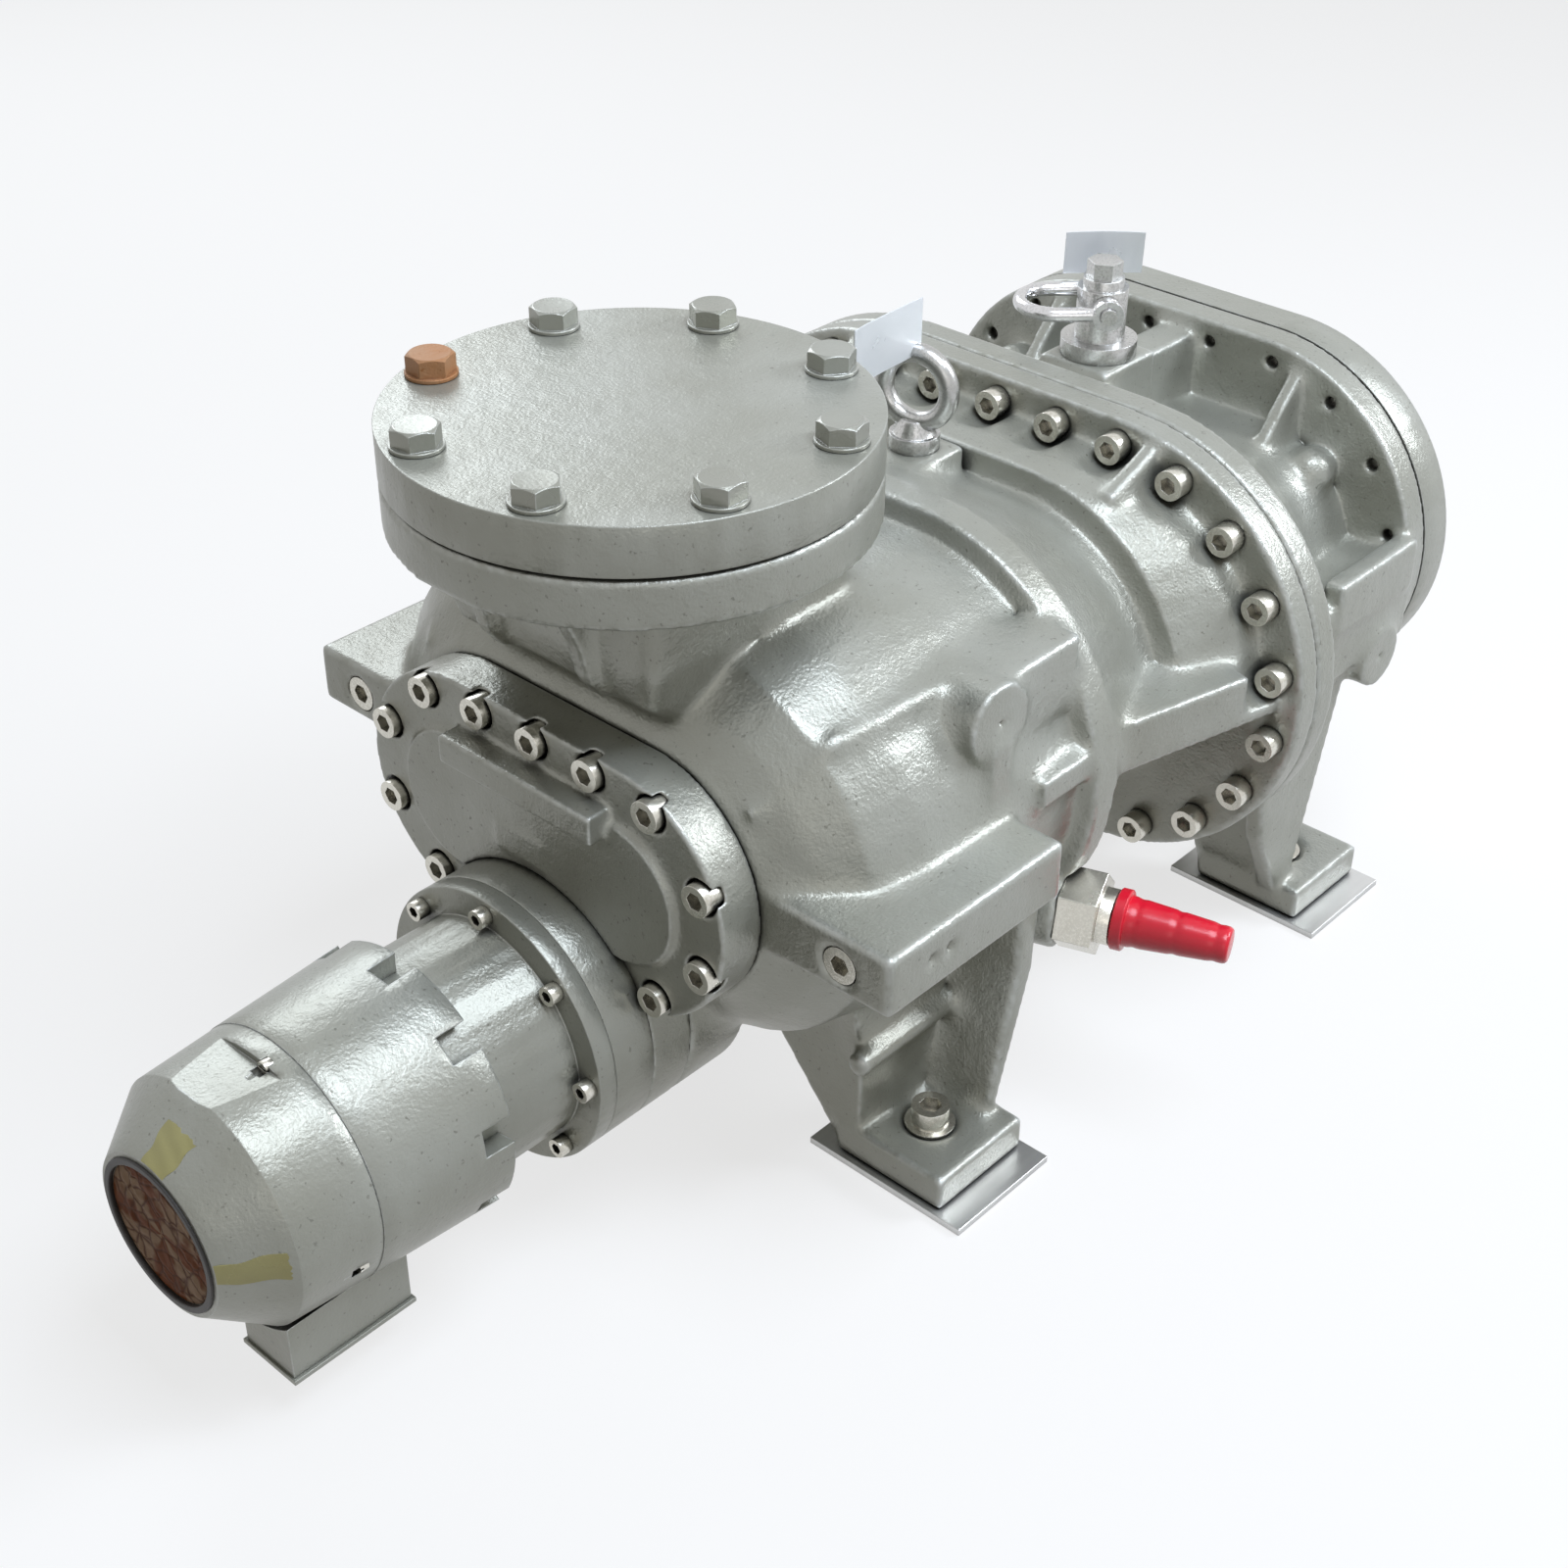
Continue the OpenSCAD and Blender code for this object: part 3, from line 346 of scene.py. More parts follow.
@dataclass(frozen=True)
class Finish:
    """The look of one material slot.

    Attributes:
        name: Slot of the record, or a name of its own for a small part.
        grain: What the surface shows from close by.
        colour: Its main colour.
        second: Colour of its patches.
        metallic: Share of metal.
        rough: Middle of its roughness.
        rough_span: How far the roughness strays.
        texture: Share of the grain's relief.
        round_mm: Radius of its edges in the shading.
        edge: Colour of edges painted lighter, partly as worn paint and partly as a painted
            highlight, or None.
        corner_shade_mm: Reach of the painted shade in corners and sockets, or 0 for none.
        dense: Whether the mesh is fine enough to find its edges by their sharpness.
        gloss: Level of its clear reflection.
    """

    name: str
    grain: Grain
    colour: Colour
    second: Colour
    metallic: float = 0.0
    rough: float = 0.5
    rough_span: float = 0.1
    texture: float = 1.0
    round_mm: float = 1.0
    # Colour of edges painted lighter, partly worn paint and partly a painted highlight.
    edge: Colour | None = None
    # Reach in mm of the painted shade in corners and sockets, or 0 for none.
    corner_shade_mm: float = 0.0
    dense: bool = False
    gloss: float = 0.5

    def material(self) -> bpy.types.Material:
        """Makes the node material once.

        Returns:
            The material, the same one at each call.
        """
        known = bpy.data.materials.get(self.name + "_finish")
        if known:
            return known
        sheet = Sheet(self.name + "_finish")
        shader = sheet.shader
        shader.inputs["Metallic"].default_value = self.metallic
        shader.inputs["Specular IOR Level"].default_value = self.gloss
        normal = sheet.rounded(self.round_mm * MM)
        colour, height = self.pattern(sheet)
        # Lighter edges: partly worn paint, partly a painted highlight along them.
        if self.edge:
            edges = sheet.ridges() if self.dense else sheet.edges(normal)
            worn_and_highlight = sheet.math("MULTIPLY", edges, sheet.ramp(sheet.cloud(WORN_HIGHLIGHT_PATCHES), 0.3, 0.6))
            colour = sheet.blend(worn_and_highlight, colour, self.edge)
        # Painted shade: corners and sockets are darkened by their occlusion.
        if self.corner_shade_mm:
            dark = tuple(CORNER_SHADE_SHARE * c for c in self.colour)
            colour = sheet.blend(sheet.shade_in_corners(self.corner_shade_mm * MM), colour, dark)
        sheet.join(colour, shader.inputs["Base Color"])
        patch = sheet.cloud(PATCHES, 5)
        low, high = self.rough - self.rough_span, self.rough + self.rough_span
        sheet.join(sheet.spread(patch, low, high), shader.inputs["Roughness"])
        relief = RELIEF_MM[self.grain] * MM
        sheet.join(sheet.bump(height, 0.5 * self.texture, relief, normal), shader.inputs["Normal"])
        return sheet.material

    def pattern(self, sheet: Sheet) -> tuple[Socket, Socket]:
        """Colour and relief of the grain.

        Args:
            sheet: The material under construction.

        Returns:
            The colour and the height pattern.
        """
        tone = sheet.ramp(sheet.cloud(TONES, 6), 0.35, 0.7)
        colour = sheet.blend(tone, self.colour, self.second)
        if self.grain is Grain.CAST:
            fine = sheet.cloud(420, 3)
            lumps = sheet.cloud(75, 2)
            height = sheet.math("ADD", fine, sheet.math("MULTIPLY", lumps, 1.6))
            specks = sheet.ramp(sheet.cloud(260, 2), 0.66, 0.74)
            dark = tuple(SPECK_SHARE * c for c in self.colour)
            return sheet.blend(specks, colour, dark), height
        if self.grain is Grain.SMOOTH:
            return colour, sheet.cloud(330, 3)
        if self.grain is Grain.ZINC:
            spots = sheet.ramp(sheet.cloud(500, 2), 0.45, 0.7)
            return sheet.blend(spots, colour, self.second), sheet.cloud(600, 2)
        if self.grain is Grain.GROUND:
            lines = sheet.cloud(300, 2, sheet.stretched((6.0, 0.6, 0.6)))
            return sheet.blend(lines, colour, self.second), lines
        if self.grain is Grain.ROLLED:
            streaks = sheet.cloud(60, 4, sheet.stretched((0.4, 3.0, 1.0)))
            return sheet.blend(streaks, colour, self.second), streaks
        if self.grain is Grain.FILM:
            # Painted shade: the film is darker along its creases.
            creases = sheet.ramp(sheet.cells(70), 0.0, 0.12)
            folds = sheet.blend(sheet.arms(FILM_HEIGHT, FILM_ARMS), self.second, self.colour)
            dark = tuple(CREASE_SHADE_SHARE * c for c in self.colour)
            return sheet.blend(creases, dark, folds), creases
        return colour, sheet.cloud(700, 2)


PAINT = (0.315, 0.315, 0.27)
PAINT_PALE = (0.385, 0.39, 0.35)
# Colour of edges painted lighter: partly worn paint, partly a painted highlight.
PAINT_WORN_HIGHLIGHT = (0.66, 0.68, 0.66)
ZINC = (0.52, 0.50, 0.44)
FINISHES: dict[str, Finish] = {
    finish.name: finish
    for finish in (
        Finish(
            "painted_casting", Grain.CAST, PAINT, PAINT_PALE,
            metallic=0.4, rough=0.33, rough_span=0.08, texture=0.7, round_mm=1.6, edge=PAINT_WORN_HIGHLIGHT,
            corner_shade_mm=12.0,
        ),
        Finish(
            "painted_skin", Grain.CAST, PAINT, PAINT_PALE,
            metallic=0.4, rough=0.33, rough_span=0.08, texture=0.9, round_mm=1.6, edge=PAINT_WORN_HIGHLIGHT,
            corner_shade_mm=14.0, dense=True,
        ),
        Finish(
            "painted_lid", Grain.SMOOTH, PAINT, PAINT_PALE,
            metallic=0.4, rough=0.35, rough_span=0.08, texture=0.6, round_mm=0.8, edge=PAINT_WORN_HIGHLIGHT,
            corner_shade_mm=10.0,
        ),
        Finish(
            "painted_bolts", Grain.SMOOTH, PAINT, PAINT_PALE,
            metallic=0.45, rough=0.28, rough_span=0.1, texture=0.7, round_mm=0.9, edge=PAINT_WORN_HIGHLIGHT,
            corner_shade_mm=6.0,
        ),
        Finish(
            "zinc_screws", Grain.ZINC, ZINC, (0.72, 0.70, 0.63),
            metallic=0.9, rough=0.27, rough_span=0.12, texture=0.6, round_mm=0.6, corner_shade_mm=9.0,
        ),
        Finish(
            "machined_steel", Grain.GROUND, (0.46, 0.46, 0.46), (0.58, 0.58, 0.57),
            metallic=1.0, rough=0.3, rough_span=0.08,
        ),
        Finish(
            "bearing_steel", Grain.GROUND, (0.55, 0.55, 0.56), (0.66, 0.66, 0.67),
            metallic=1.0, rough=0.18, rough_span=0.05,
        ),
        Finish(
            "bearing_bronze", Grain.GROUND, (0.55, 0.36, 0.15), (0.66, 0.46, 0.22),
            metallic=1.0, rough=0.3, rough_span=0.08,
        ),
        Finish(
            "seal_carbon", Grain.MOULDED, (0.03, 0.03, 0.035), (0.05, 0.05, 0.05),
            metallic=0.0, rough=0.45, rough_span=0.05,
        ),
        Finish(
            "gasket_sheet", Grain.MOULDED, (0.02, 0.02, 0.022), (0.04, 0.04, 0.04),
            metallic=0.0, rough=0.8, rough_span=0.1,
        ),
        Finish(
            "window_glass", Grain.CLEAR, (0.75, 0.75, 0.7), (0.8, 0.8, 0.75),
            metallic=0.0, rough=0.12, rough_span=0.03, texture=0.2,
        ),
        Finish(
            "window_film", Grain.FILM, (0.16, 0.05, 0.016), (0.42, 0.28, 0.19),
            metallic=0.0, rough=0.6, rough_span=0.1, gloss=0.1,
        ),
        Finish(
            "black_plastic", Grain.MOULDED, (0.02, 0.018, 0.016), (0.035, 0.03, 0.028),
            metallic=0.0, rough=0.5, rough_span=0.1,
        ),
        Finish(
            "red_plastic", Grain.MOULDED, (0.80, 0.012, 0.035), (0.66, 0.01, 0.03),
            metallic=0.0, rough=0.25, rough_span=0.06, texture=0.5, round_mm=0.6,
        ),
        Finish(
            "dial_white", Grain.SMOOTH, (0.75, 0.75, 0.72), (0.7, 0.7, 0.66),
            metallic=0.0, rough=0.4, rough_span=0.05,
        ),
        Finish(
            "pointer_red", Grain.SMOOTH, (0.5, 0.02, 0.015), (0.45, 0.02, 0.015),
            metallic=0.0, rough=0.35, rough_span=0.05,
        ),
        Finish(
            "lifting_chrome", Grain.ZINC, (0.72, 0.72, 0.73), (0.55, 0.55, 0.56),
            metallic=1.0, rough=0.14, rough_span=0.06, texture=0.4, round_mm=0.6, corner_shade_mm=8.0,
        ),
        Finish(
            "lifting_steel", Grain.ZINC, (0.60, 0.60, 0.59), (0.42, 0.42, 0.41),
            metallic=0.95, rough=0.27, rough_span=0.1, texture=0.8, round_mm=0.6, corner_shade_mm=10.0,
        ),
        Finish(
            "tag_sheet", Grain.ROLLED, (0.68, 0.71, 0.74), (0.85, 0.87, 0.89),
            metallic=0.3, rough=0.3, rough_span=0.1, texture=0.5, round_mm=0.2,
        ),
        Finish(
            "plate_steel", Grain.ROLLED, (0.50, 0.50, 0.49), (0.70, 0.70, 0.69),
            metallic=0.8, rough=0.32, rough_span=0.1, texture=0.8, round_mm=0.6, corner_shade_mm=12.0,
        ),
        Finish(
            "tape", Grain.MOULDED, (0.36, 0.32, 0.12), (0.46, 0.42, 0.19),
            metallic=0.1, rough=0.28, rough_span=0.1, texture=0.8, round_mm=0.1,
        ),
        Finish(
            "rust", Grain.CAST, (0.36, 0.15, 0.045), (0.42, 0.33, 0.24),
            metallic=0.3, rough=0.55, rough_span=0.1, texture=0.8, round_mm=0.8, corner_shade_mm=6.0,
        ),
    )
}


def add_piece(
    name: str, mesh: bpy.types.Mesh, finish: str, body: str = HOUSING
) -> bpy.types.Object:
    """Links a mesh as a piece that rides on a body.

    Args:
        name: Name of the new object.
        mesh: Its mesh, in the shared frame.
        finish: Key of its finish.
        body: CAD body that carries it.

    Returns:
        The object.
    """
    piece = bpy.data.objects.new(name, mesh)
    bpy.context.scene.collection.objects.link(piece)
    mesh.materials.clear()
    mesh.materials.append(FINISHES[finish].material())
    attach(piece, body)
    LOG.info("piece %s on %s", name, body)
    return piece


@dataclass
class CarriedNodes:
    """CAD nodes that keep their shape: each gets its finish, and all but the plain ones slightly
    broken edges.
    """

    round_mm: float = 0.7
    fold_deg: float = 32.0
    plain: tuple[str, ...] = ("male_rotor", "female_rotor", "thrust_balls", "window_film")

    def build(self) -> None:
        """Dresses every CAD node from its material slot."""
        slots = {row["node"]: row["material_slot"] for row in frame["record"]["subparts"]}
        for name, node in frame["nodes"].items():
            node.data.materials.clear()
            node.data.materials.append(FINISHES[slots[name]].material())
            if name not in self.plain:
                self.soften(node)

    def soften(self, node: bpy.types.Object) -> None:
        """Joins the node's faces and rounds its sharp edges with modifiers.

        Args:
            node: The CAD node's object.
        """
        weld = node.modifiers.new("weld", "WELD")
        weld.merge_threshold = JOIN_REACH
        bevel = node.modifiers.new("edges", "BEVEL")
        bevel.width = self.round_mm * MM
        bevel.segments = 2
        bevel.limit_method = "ANGLE"
        bevel.angle_limit = math.radians(self.fold_deg)
        bevel.miter_outer = "MITER_ARC"
        bevel.harden_normals = True


@dataclass
class CastSkin:
    """A casting with the rounded edges and fillets that its CAD solid leaves out."""

    node: str
    voxel: float = 2.8
    fillet_steps: int = 70
    smooth_steps: int = 14
    seat_clear: float = 4.0
    seat_fade: float = 8.0
    hold_gap: float = 0.9
    hold_fade: float = 0.5
    crease_clear: float = 3.0
    crease_fade: float = 8.0

    def build(self) -> bpy.types.Object:
        """Makes the skin and lets it stand for its node.

        Returns:
            The skin.
        """
        mesh = self.shell()
        self.settle(mesh)
        piece = add_piece(self.node + "_skin", mesh, "painted_skin")
        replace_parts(piece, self.node)
        LOG.info("skin of %s has %d faces", self.node, len(mesh.polygons))
        return piece

    def solid(self) -> bmesh.types.BMesh:
        """The node's own mesh with its faces joined.

        Returns:
            The mesh, for the caller to free.
        """
        work = bmesh.new()
        work.from_mesh(frame["nodes"][self.node].data)
        bmesh.ops.remove_doubles(work, verts=work.verts, dist=JOIN_REACH)
        return work

    def shell(self) -> bpy.types.Mesh:
        """Even mesh of small squares over the node's solid.

        Returns:
            The mesh, still with the steps of its squares.
        """
        work = self.solid()
        source = bpy.data.meshes.new("source")
        work.to_mesh(source)
        work.free()
        holder = bpy.data.objects.new("source", source)
        bpy.context.scene.collection.objects.link(holder)
        squares = holder.modifiers.new("squares", "REMESH")
        squares.mode = "VOXEL"
        squares.voxel_size = self.voxel * MM
        graph = bpy.context.evaluated_depsgraph_get()
        mesh = bpy.data.meshes.new_from_object(holder.evaluated_get(graph))
        bpy.data.objects.remove(holder)
        mesh.polygons.foreach_set("use_smooth", [True] * len(mesh.polygons))
        mesh.name = self.node + "_skin"
        return mesh

    def settle(self, mesh: bpy.types.Mesh) -> None:
        """Lays the squares on the solid, then rounds and fillets them.

        Args:
            mesh: The even mesh, changed in place.
        """
        place = np.zeros(len(mesh.vertices) * 3)
        mesh.vertices.foreach_get("co", place)
        place = place.reshape(-1, 3)
        edges = np.zeros(len(mesh.edges) * 2, np.int32)
        mesh.edges.foreach_get("vertices", edges)
        edges = edges.reshape(-1, 2)
        quads = np.array([f.vertices[:] for f in mesh.polygons if len(f.vertices) == 4])
        place = relaxed(place, edges, 3, 0.5)
        work = self.solid()
        tree = BVHTree.FromBMesh(work)
        creases = crease_tree(work)
        work.free()
        near = np.array([tree.find_nearest(p)[0] for p in place])
        gap = np.linalg.norm(near - place, axis=1) / MM
        hold = np.clip((self.hold_gap - gap) / self.hold_fade, 0.0, 1.0)
        place += (near - place) * hold[:, None]
        seats = other_nodes(self.node)
        reach = (self.seat_clear + 10.0) * MM
        found = (seats.find_nearest(p, reach) for p in place)
        seat = np.array([reach if hit[3] is None else hit[3] for hit in found]) / MM
        free = np.clip((seat - self.seat_clear) / self.seat_fade, 0.0, 1.0)
        crease = np.array([creases.find(p)[2] for p in place]) / MM
        calm = np.clip((crease - self.crease_clear) / self.crease_fade, 0.0, 1.0)
        place = relaxed(place, edges, self.smooth_steps, 0.5 * calm)
        place = filled(place, edges, quads, self.fillet_steps, 0.5 * free)
        place = relaxed(place, edges, 2, 0.4)
        mesh.vertices.foreach_set("co", place.astype(np.float32).ravel())
        mesh.update()


def relaxed(
    place: np.ndarray, edges: np.ndarray, steps: int, share: np.ndarray | float
) -> np.ndarray:
    """Moves each point towards the middle of its neighbours.

    Args:
        place: The points.
        edges: Pairs of neighbours.
        steps: How often.
        share: How far, from 0 to 1, for all points or for each.

    Returns:
        The new points.
    """
    share = np.broadcast_to(share, len(place))[:, None]
    for _ in range(steps):
        place = place + share * pull(place, edges)
    return place


def pull(place: np.ndarray, edges: np.ndarray) -> np.ndarray:
    """Way from each point to the middle of its neighbours.

    Args:
        place: The points.
        edges: Pairs of neighbours.

    Returns:
        One way for each point.
    """
    size = len(place)
    total = np.zeros_like(place)
    for k in range(3):
        total[:, k] = np.bincount(edges[:, 0], place[edges[:, 1], k], size)
        total[:, k] += np.bincount(edges[:, 1], place[edges[:, 0], k], size)
    count = np.bincount(edges.ravel(), minlength=size)
    return total / np.maximum(count, 1)[:, None] - place


def outward(place: np.ndarray, quads: np.ndarray) -> np.ndarray:
    """Unit normals of the points of a mesh of squares.

    Args:
        place: The points.
        quads: The squares.

    Returns:
        One normal for each point.
    """
    a, b, c, d = (place[quads[:, k]] for k in range(4))
    face = np.cross(c - a, d - b)
    total = np.zeros_like(place)
    for k in range(3):
        for corner in range(4):
            total[:, k] += np.bincount(quads[:, corner], face[:, k], len(place))
    return total / np.maximum(np.linalg.norm(total, axis=1), 1e-12)[:, None]


def filled(
    place: np.ndarray, edges: np.ndarray, quads: np.ndarray, steps: int, share: np.ndarray
) -> np.ndarray:
    """Fills inner corners with fillets and leaves outer edges as they are.

    Args:
        place: The points.
        edges: Pairs of neighbours.
        quads: The squares.
        steps: How often; more gives a larger fillet.
        share: How far each point may go in a step, from 0 to 1.

    Returns:
        The new points.
    """
    for _ in range(steps):
        normal = outward(place, quads)
        rise = np.einsum("ij,ij->i", pull(place, edges), normal)
        place = place + normal * (share * np.maximum(rise, 0.0))[:, None]
    return place


def crease_tree(work: bmesh.types.BMesh) -> KDTree:
    """Points along the sharp edges of a solid, for finding the nearest.

    Args:
        work: The solid's mesh.

    Returns:
        The points, about 2 mm apart.
    """
    points = []
    for edge in work.edges:
        if len(edge.link_faces) != 2 or edge.calc_face_angle(0.0) > math.radians(30):
            a, b = (v.co for v in edge.verts)
            count = max(1, int((b - a).length / (2 * MM)))
            points += [a.lerp(b, k / count) for k in range(count + 1)]
    tree = KDTree(len(points))
    for k, point in enumerate(points):
        tree.insert(point, k)
    tree.balance()
    return tree


def other_nodes(name: str) -> BVHTree:
    """Surfaces of all CAD nodes but one, for finding what sits on a casting.

    Args:
        name: The node that is left out.

    Returns:
        The surfaces.
    """
    points: list[Vector] = []
    faces: list[list[int]] = []
    for key, node in frame["nodes"].items():
        if key != name:
            start = len(points)
            points += [v.co.copy() for v in node.data.vertices]
            faces += [[start + k for k in f.vertices] for f in node.data.polygons]
    return BVHTree.FromPolygons(points, faces)


Frame = Callable[[float, float, float], Vector]


def closed_mesh(
    name: str, points: list[Vector], faces: list[list[int]], sharp: float = 35.0
) -> bpy.types.Mesh:
    """A smooth mesh with its folds kept sharp.

    Args:
        name: Name of the mesh.
        points: Its corners.
        faces: Its faces as lists of corners.
        sharp: Angle in degrees from which a fold stays sharp.

    Returns:
        The mesh, with its faces turned outwards.
    """
    mesh = bpy.data.meshes.new(name)
    mesh.from_pydata(points, [], faces)
    work = bmesh.new()
    work.from_mesh(mesh)
    bmesh.ops.recalc_face_normals(work, faces=work.faces)
    work.to_mesh(mesh)
    work.free()
    mesh.polygons.foreach_set("use_smooth", [True] * len(mesh.polygons))
    mesh.set_sharp_from_angle(angle=math.radians(sharp))
    return mesh


@dataclass
class Solids:
    """Corners and faces of a piece that is made of several solids."""

    points: list[Vector] = field(default_factory=list)
    faces: list[list[int]] = field(default_factory=list)

    def rings(self, loops: list[list[Vector]], closed: bool) -> None:
        """Joins loops of equal length, or single points, one after the other.

        Args:
            loops: The loops; one of a single point closes an end.
            closed: Whether the last loop joins the first.
        """
        starts = []
        for loop in loops:
            starts.append(len(self.points))
            self.points += loop
        pairs = list(range(len(loops) - 1)) + ([len(loops) - 1] if closed else [])
        for k in pairs:
            n = (k + 1) % len(loops)
            count = max(len(loops[k]), len(loops[n]))
            for i in range(count):
                j = (i + 1) % count
                a = [starts[k] + i, starts[k] + j] if len(loops[k]) > 1 else [starts[k]]
                b = [starts[n] + j, starts[n] + i] if len(loops[n]) > 1 else [starts[n]]
                self.faces.append(a + b)

    def turned(self, profile: list[tuple[float, float]], frame_at: Frame, count: int = 64) -> None:
        """A turned solid.

        Args:
            profile: Distance along the axis and radius, in mm. It starts and ends on the axis,
                or goes all the way round a ring.
            frame_at: Turns local millimetres into a point of the shared frame, Z along the axis.
            count: Number of steps round.
        """
        loops = []
        for d, r in profile:
            turns = [2 * math.pi * i / count for i in range(count)] if r > 0 else [0.0]
            loops.append([frame_at(r * math.cos(t), r * math.sin(t), d) for t in turns])
        self.rings(loops, profile[0][1] > 0)

    def sheet(
        self, wide: int, high: int, front: Callable[[float, float], Vector], back: Vector
    ) -> None:
        """A thin sheet with both its sides.

        Args:
            wide: Number of squares along it.
            high: Number of squares across it.
            front: Point of the front for shares from 0 to 1 of both.
            back: Way from the front to the back.
        """
        start = len(self.points)
        size = (wide + 1) * (high + 1)
        spots = [(i / wide, j / high) for j in range(high + 1) for i in range(wide + 1)]
        for shift in (Vector((0, 0, 0)), back):
            self.points += [front(u, v) + shift for u, v in spots]
        row = wide + 1
        for j in range(high):
            for i in range(wide):
                k = start + j * row + i
                self.faces.append([k, k + 1, k + 1 + row, k + row])
                self.faces.append([k + size, k + size + row, k + size + 1 + row, k + size + 1])
        rim = [j * row for j in range(high + 1)] + [high * row + i for i in range(1, row)]
        rim += [j * row + wide for j in range(high - 1, -1, -1)] + list(range(wide - 1, 0, -1))
        for k, a in enumerate(rim):
            b = rim[(k + 1) % len(rim)]
            self.faces.append([start + a, start + b, start + b + size, start + a + size])


@dataclass
class InletBolts:
    """Hexagon bolts of the blind cover with chamfered heads and washers, one of them rusty."""

    circle: float = 147.5
    top: float = 600.0
    flats: float = 30.0
    height: float = 13.0
    washer_r: float = 18.5
    washer_high: float = 3.0
    shank_r: float = 10.0
    depth: float = 71.0
    rusty: int = 2

    def build(self) -> None:
        """Makes the eight bolts as one piece."""
        solids = Solids()
        marks = []
        for k in range(8):
            self.bolt(solids, k)
            marks += [k == self.rusty] * (len(solids.faces) - len(marks))
        mesh = closed_mesh("inlet_bolt_heads", solids.points, solids.faces, 25.0)
        piece = add_piece("inlet_bolt_heads", mesh, "painted_bolts")
        mesh.materials.append(FINISHES["rust"].material())
        mesh.polygons.foreach_set("material_index", [int(mark) for mark in marks])
        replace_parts(piece, "inlet_bolts")

    def bolt(self, solids: Solids, k: int) -> None:
        """One bolt with its washer and shank.

        Args:
            solids: Takes the bolt's corners and faces.
            k: Number of the bolt on its circle.
        """
        way = math.radians(22.5 + 45 * k)
        x, y = self.circle * math.cos(way), self.circle * math.sin(way)
        spin = math.radians(12 * k)
        cut = 0.95 * self.flats / 2

        def frame_at(u: float, v: float, d: float) -> Vector:
            """Point of the bolt's own axes, d along it."""
            c, n = math.cos(spin), math.sin(spin)
            return at(x + c * u - n * v, y + n * u + c * v, self.top + d)

        rim, high, shank = self.washer_r, self.washer_high, self.shank_r
        broken, bore = rim - 0.4, shank + 1
        washer = [(0, bore), (0, broken), (0.4, rim)]
        washer += [(high - 0.4, rim), (high, broken), (high, bore)]
        solids.turned(washer, frame_at)
        tip = [(-self.depth, 0), (-self.depth, shank - 0.7), (1 - self.depth, shank)]
        solids.turned([*tip, (high, shank), (high, 0)], frame_at, 32)
        top, dip = high + self.height, 0.7 * cut
        base, edge, chamfer, face = [], [], [], []
        for i in range(72):
            t = math.radians(5 * i)
            r = self.flats / 2 / math.cos((t % math.radians(60)) - math.radians(30))
            base.append(frame_at(r * math.cos(t), r * math.sin(t), high))
            drop = (r - cut) * math.tan(math.radians(30))
            edge.append(frame_at(r * math.cos(t), r * math.sin(t), top - drop))
            chamfer.append(frame_at(cut * math.cos(t), cut * math.sin(t), top))
            face.append(frame_at(dip * math.cos(t), dip * math.sin(t), top - 0.25))
        ends = [frame_at(0, 0, high)], [frame_at(0, 0, top - 0.25)]
        solids.rings([ends[0], base, edge, chamfer, face, ends[1]], False)


@dataclass
class IndicatorWindow:
    """Crinkled brown protective film in the round window."""

    x: float = -444.4
    z: float = 165.0
    radius: float = 52.6
    folds: int = 7
    relief: float = 2.2
    coarse: float = 0.035
    fine: float = 0.11

    def build(self) -> None:
        """Makes the film."""
        rings, steps = 34, 140
        loops = [[self.point(0.0, 0.0)]]
        for k in range(1, rings + 1):
            r = self.radius * k / rings
            loops.append([self.point(r, 2 * math.pi * i / steps) for i in range(steps)])
        loops.append([self.flat(self.radius, 2 * math.pi * i / steps) for i in range(steps)])
        loops.append([at(self.x + 0.3, 0, self.z)])
        solids = Solids()
        solids.rings(loops, False)
        mesh = closed_mesh("crinkled_film", solids.points, solids.faces, 60.0)
        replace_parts(add_piece("crinkled_film", mesh, "window_film"), "window_film")

    def flat(self, r: float, turn: float) -> Vector:
        """Point of the plain back side."""
        return at(self.x + 0.3, r * math.cos(turn), self.z + r * math.sin(turn))

    def point(self, r: float, turn: float) -> Vector:
        """Point of the crinkled front.

        Args:
            r: Distance from the window's middle, in mm.
            turn: Angle round it.

        Returns:
            The point in the shared frame.
        """
        y, z = r * math.cos(turn), r * math.sin(turn)
        share = r / self.radius
        swirl = noise.noise(Vector((y, z, 3.0)) * self.coarse)
        wedge = (self.folds * (turn / (2 * math.pi) + 0.22 * swirl)) % 1.0
        fold = 1.0 - abs(2 * wedge - 1.0)
        fine = abs(noise.noise(Vector((y, z, 9.0)) * self.fine))
        lift = self.relief * share * (0.65 * fold + 0.9 * fine) * min(1.0, 8 * (1.0 - share))
        return at(self.x - lift, y, self.z + z)


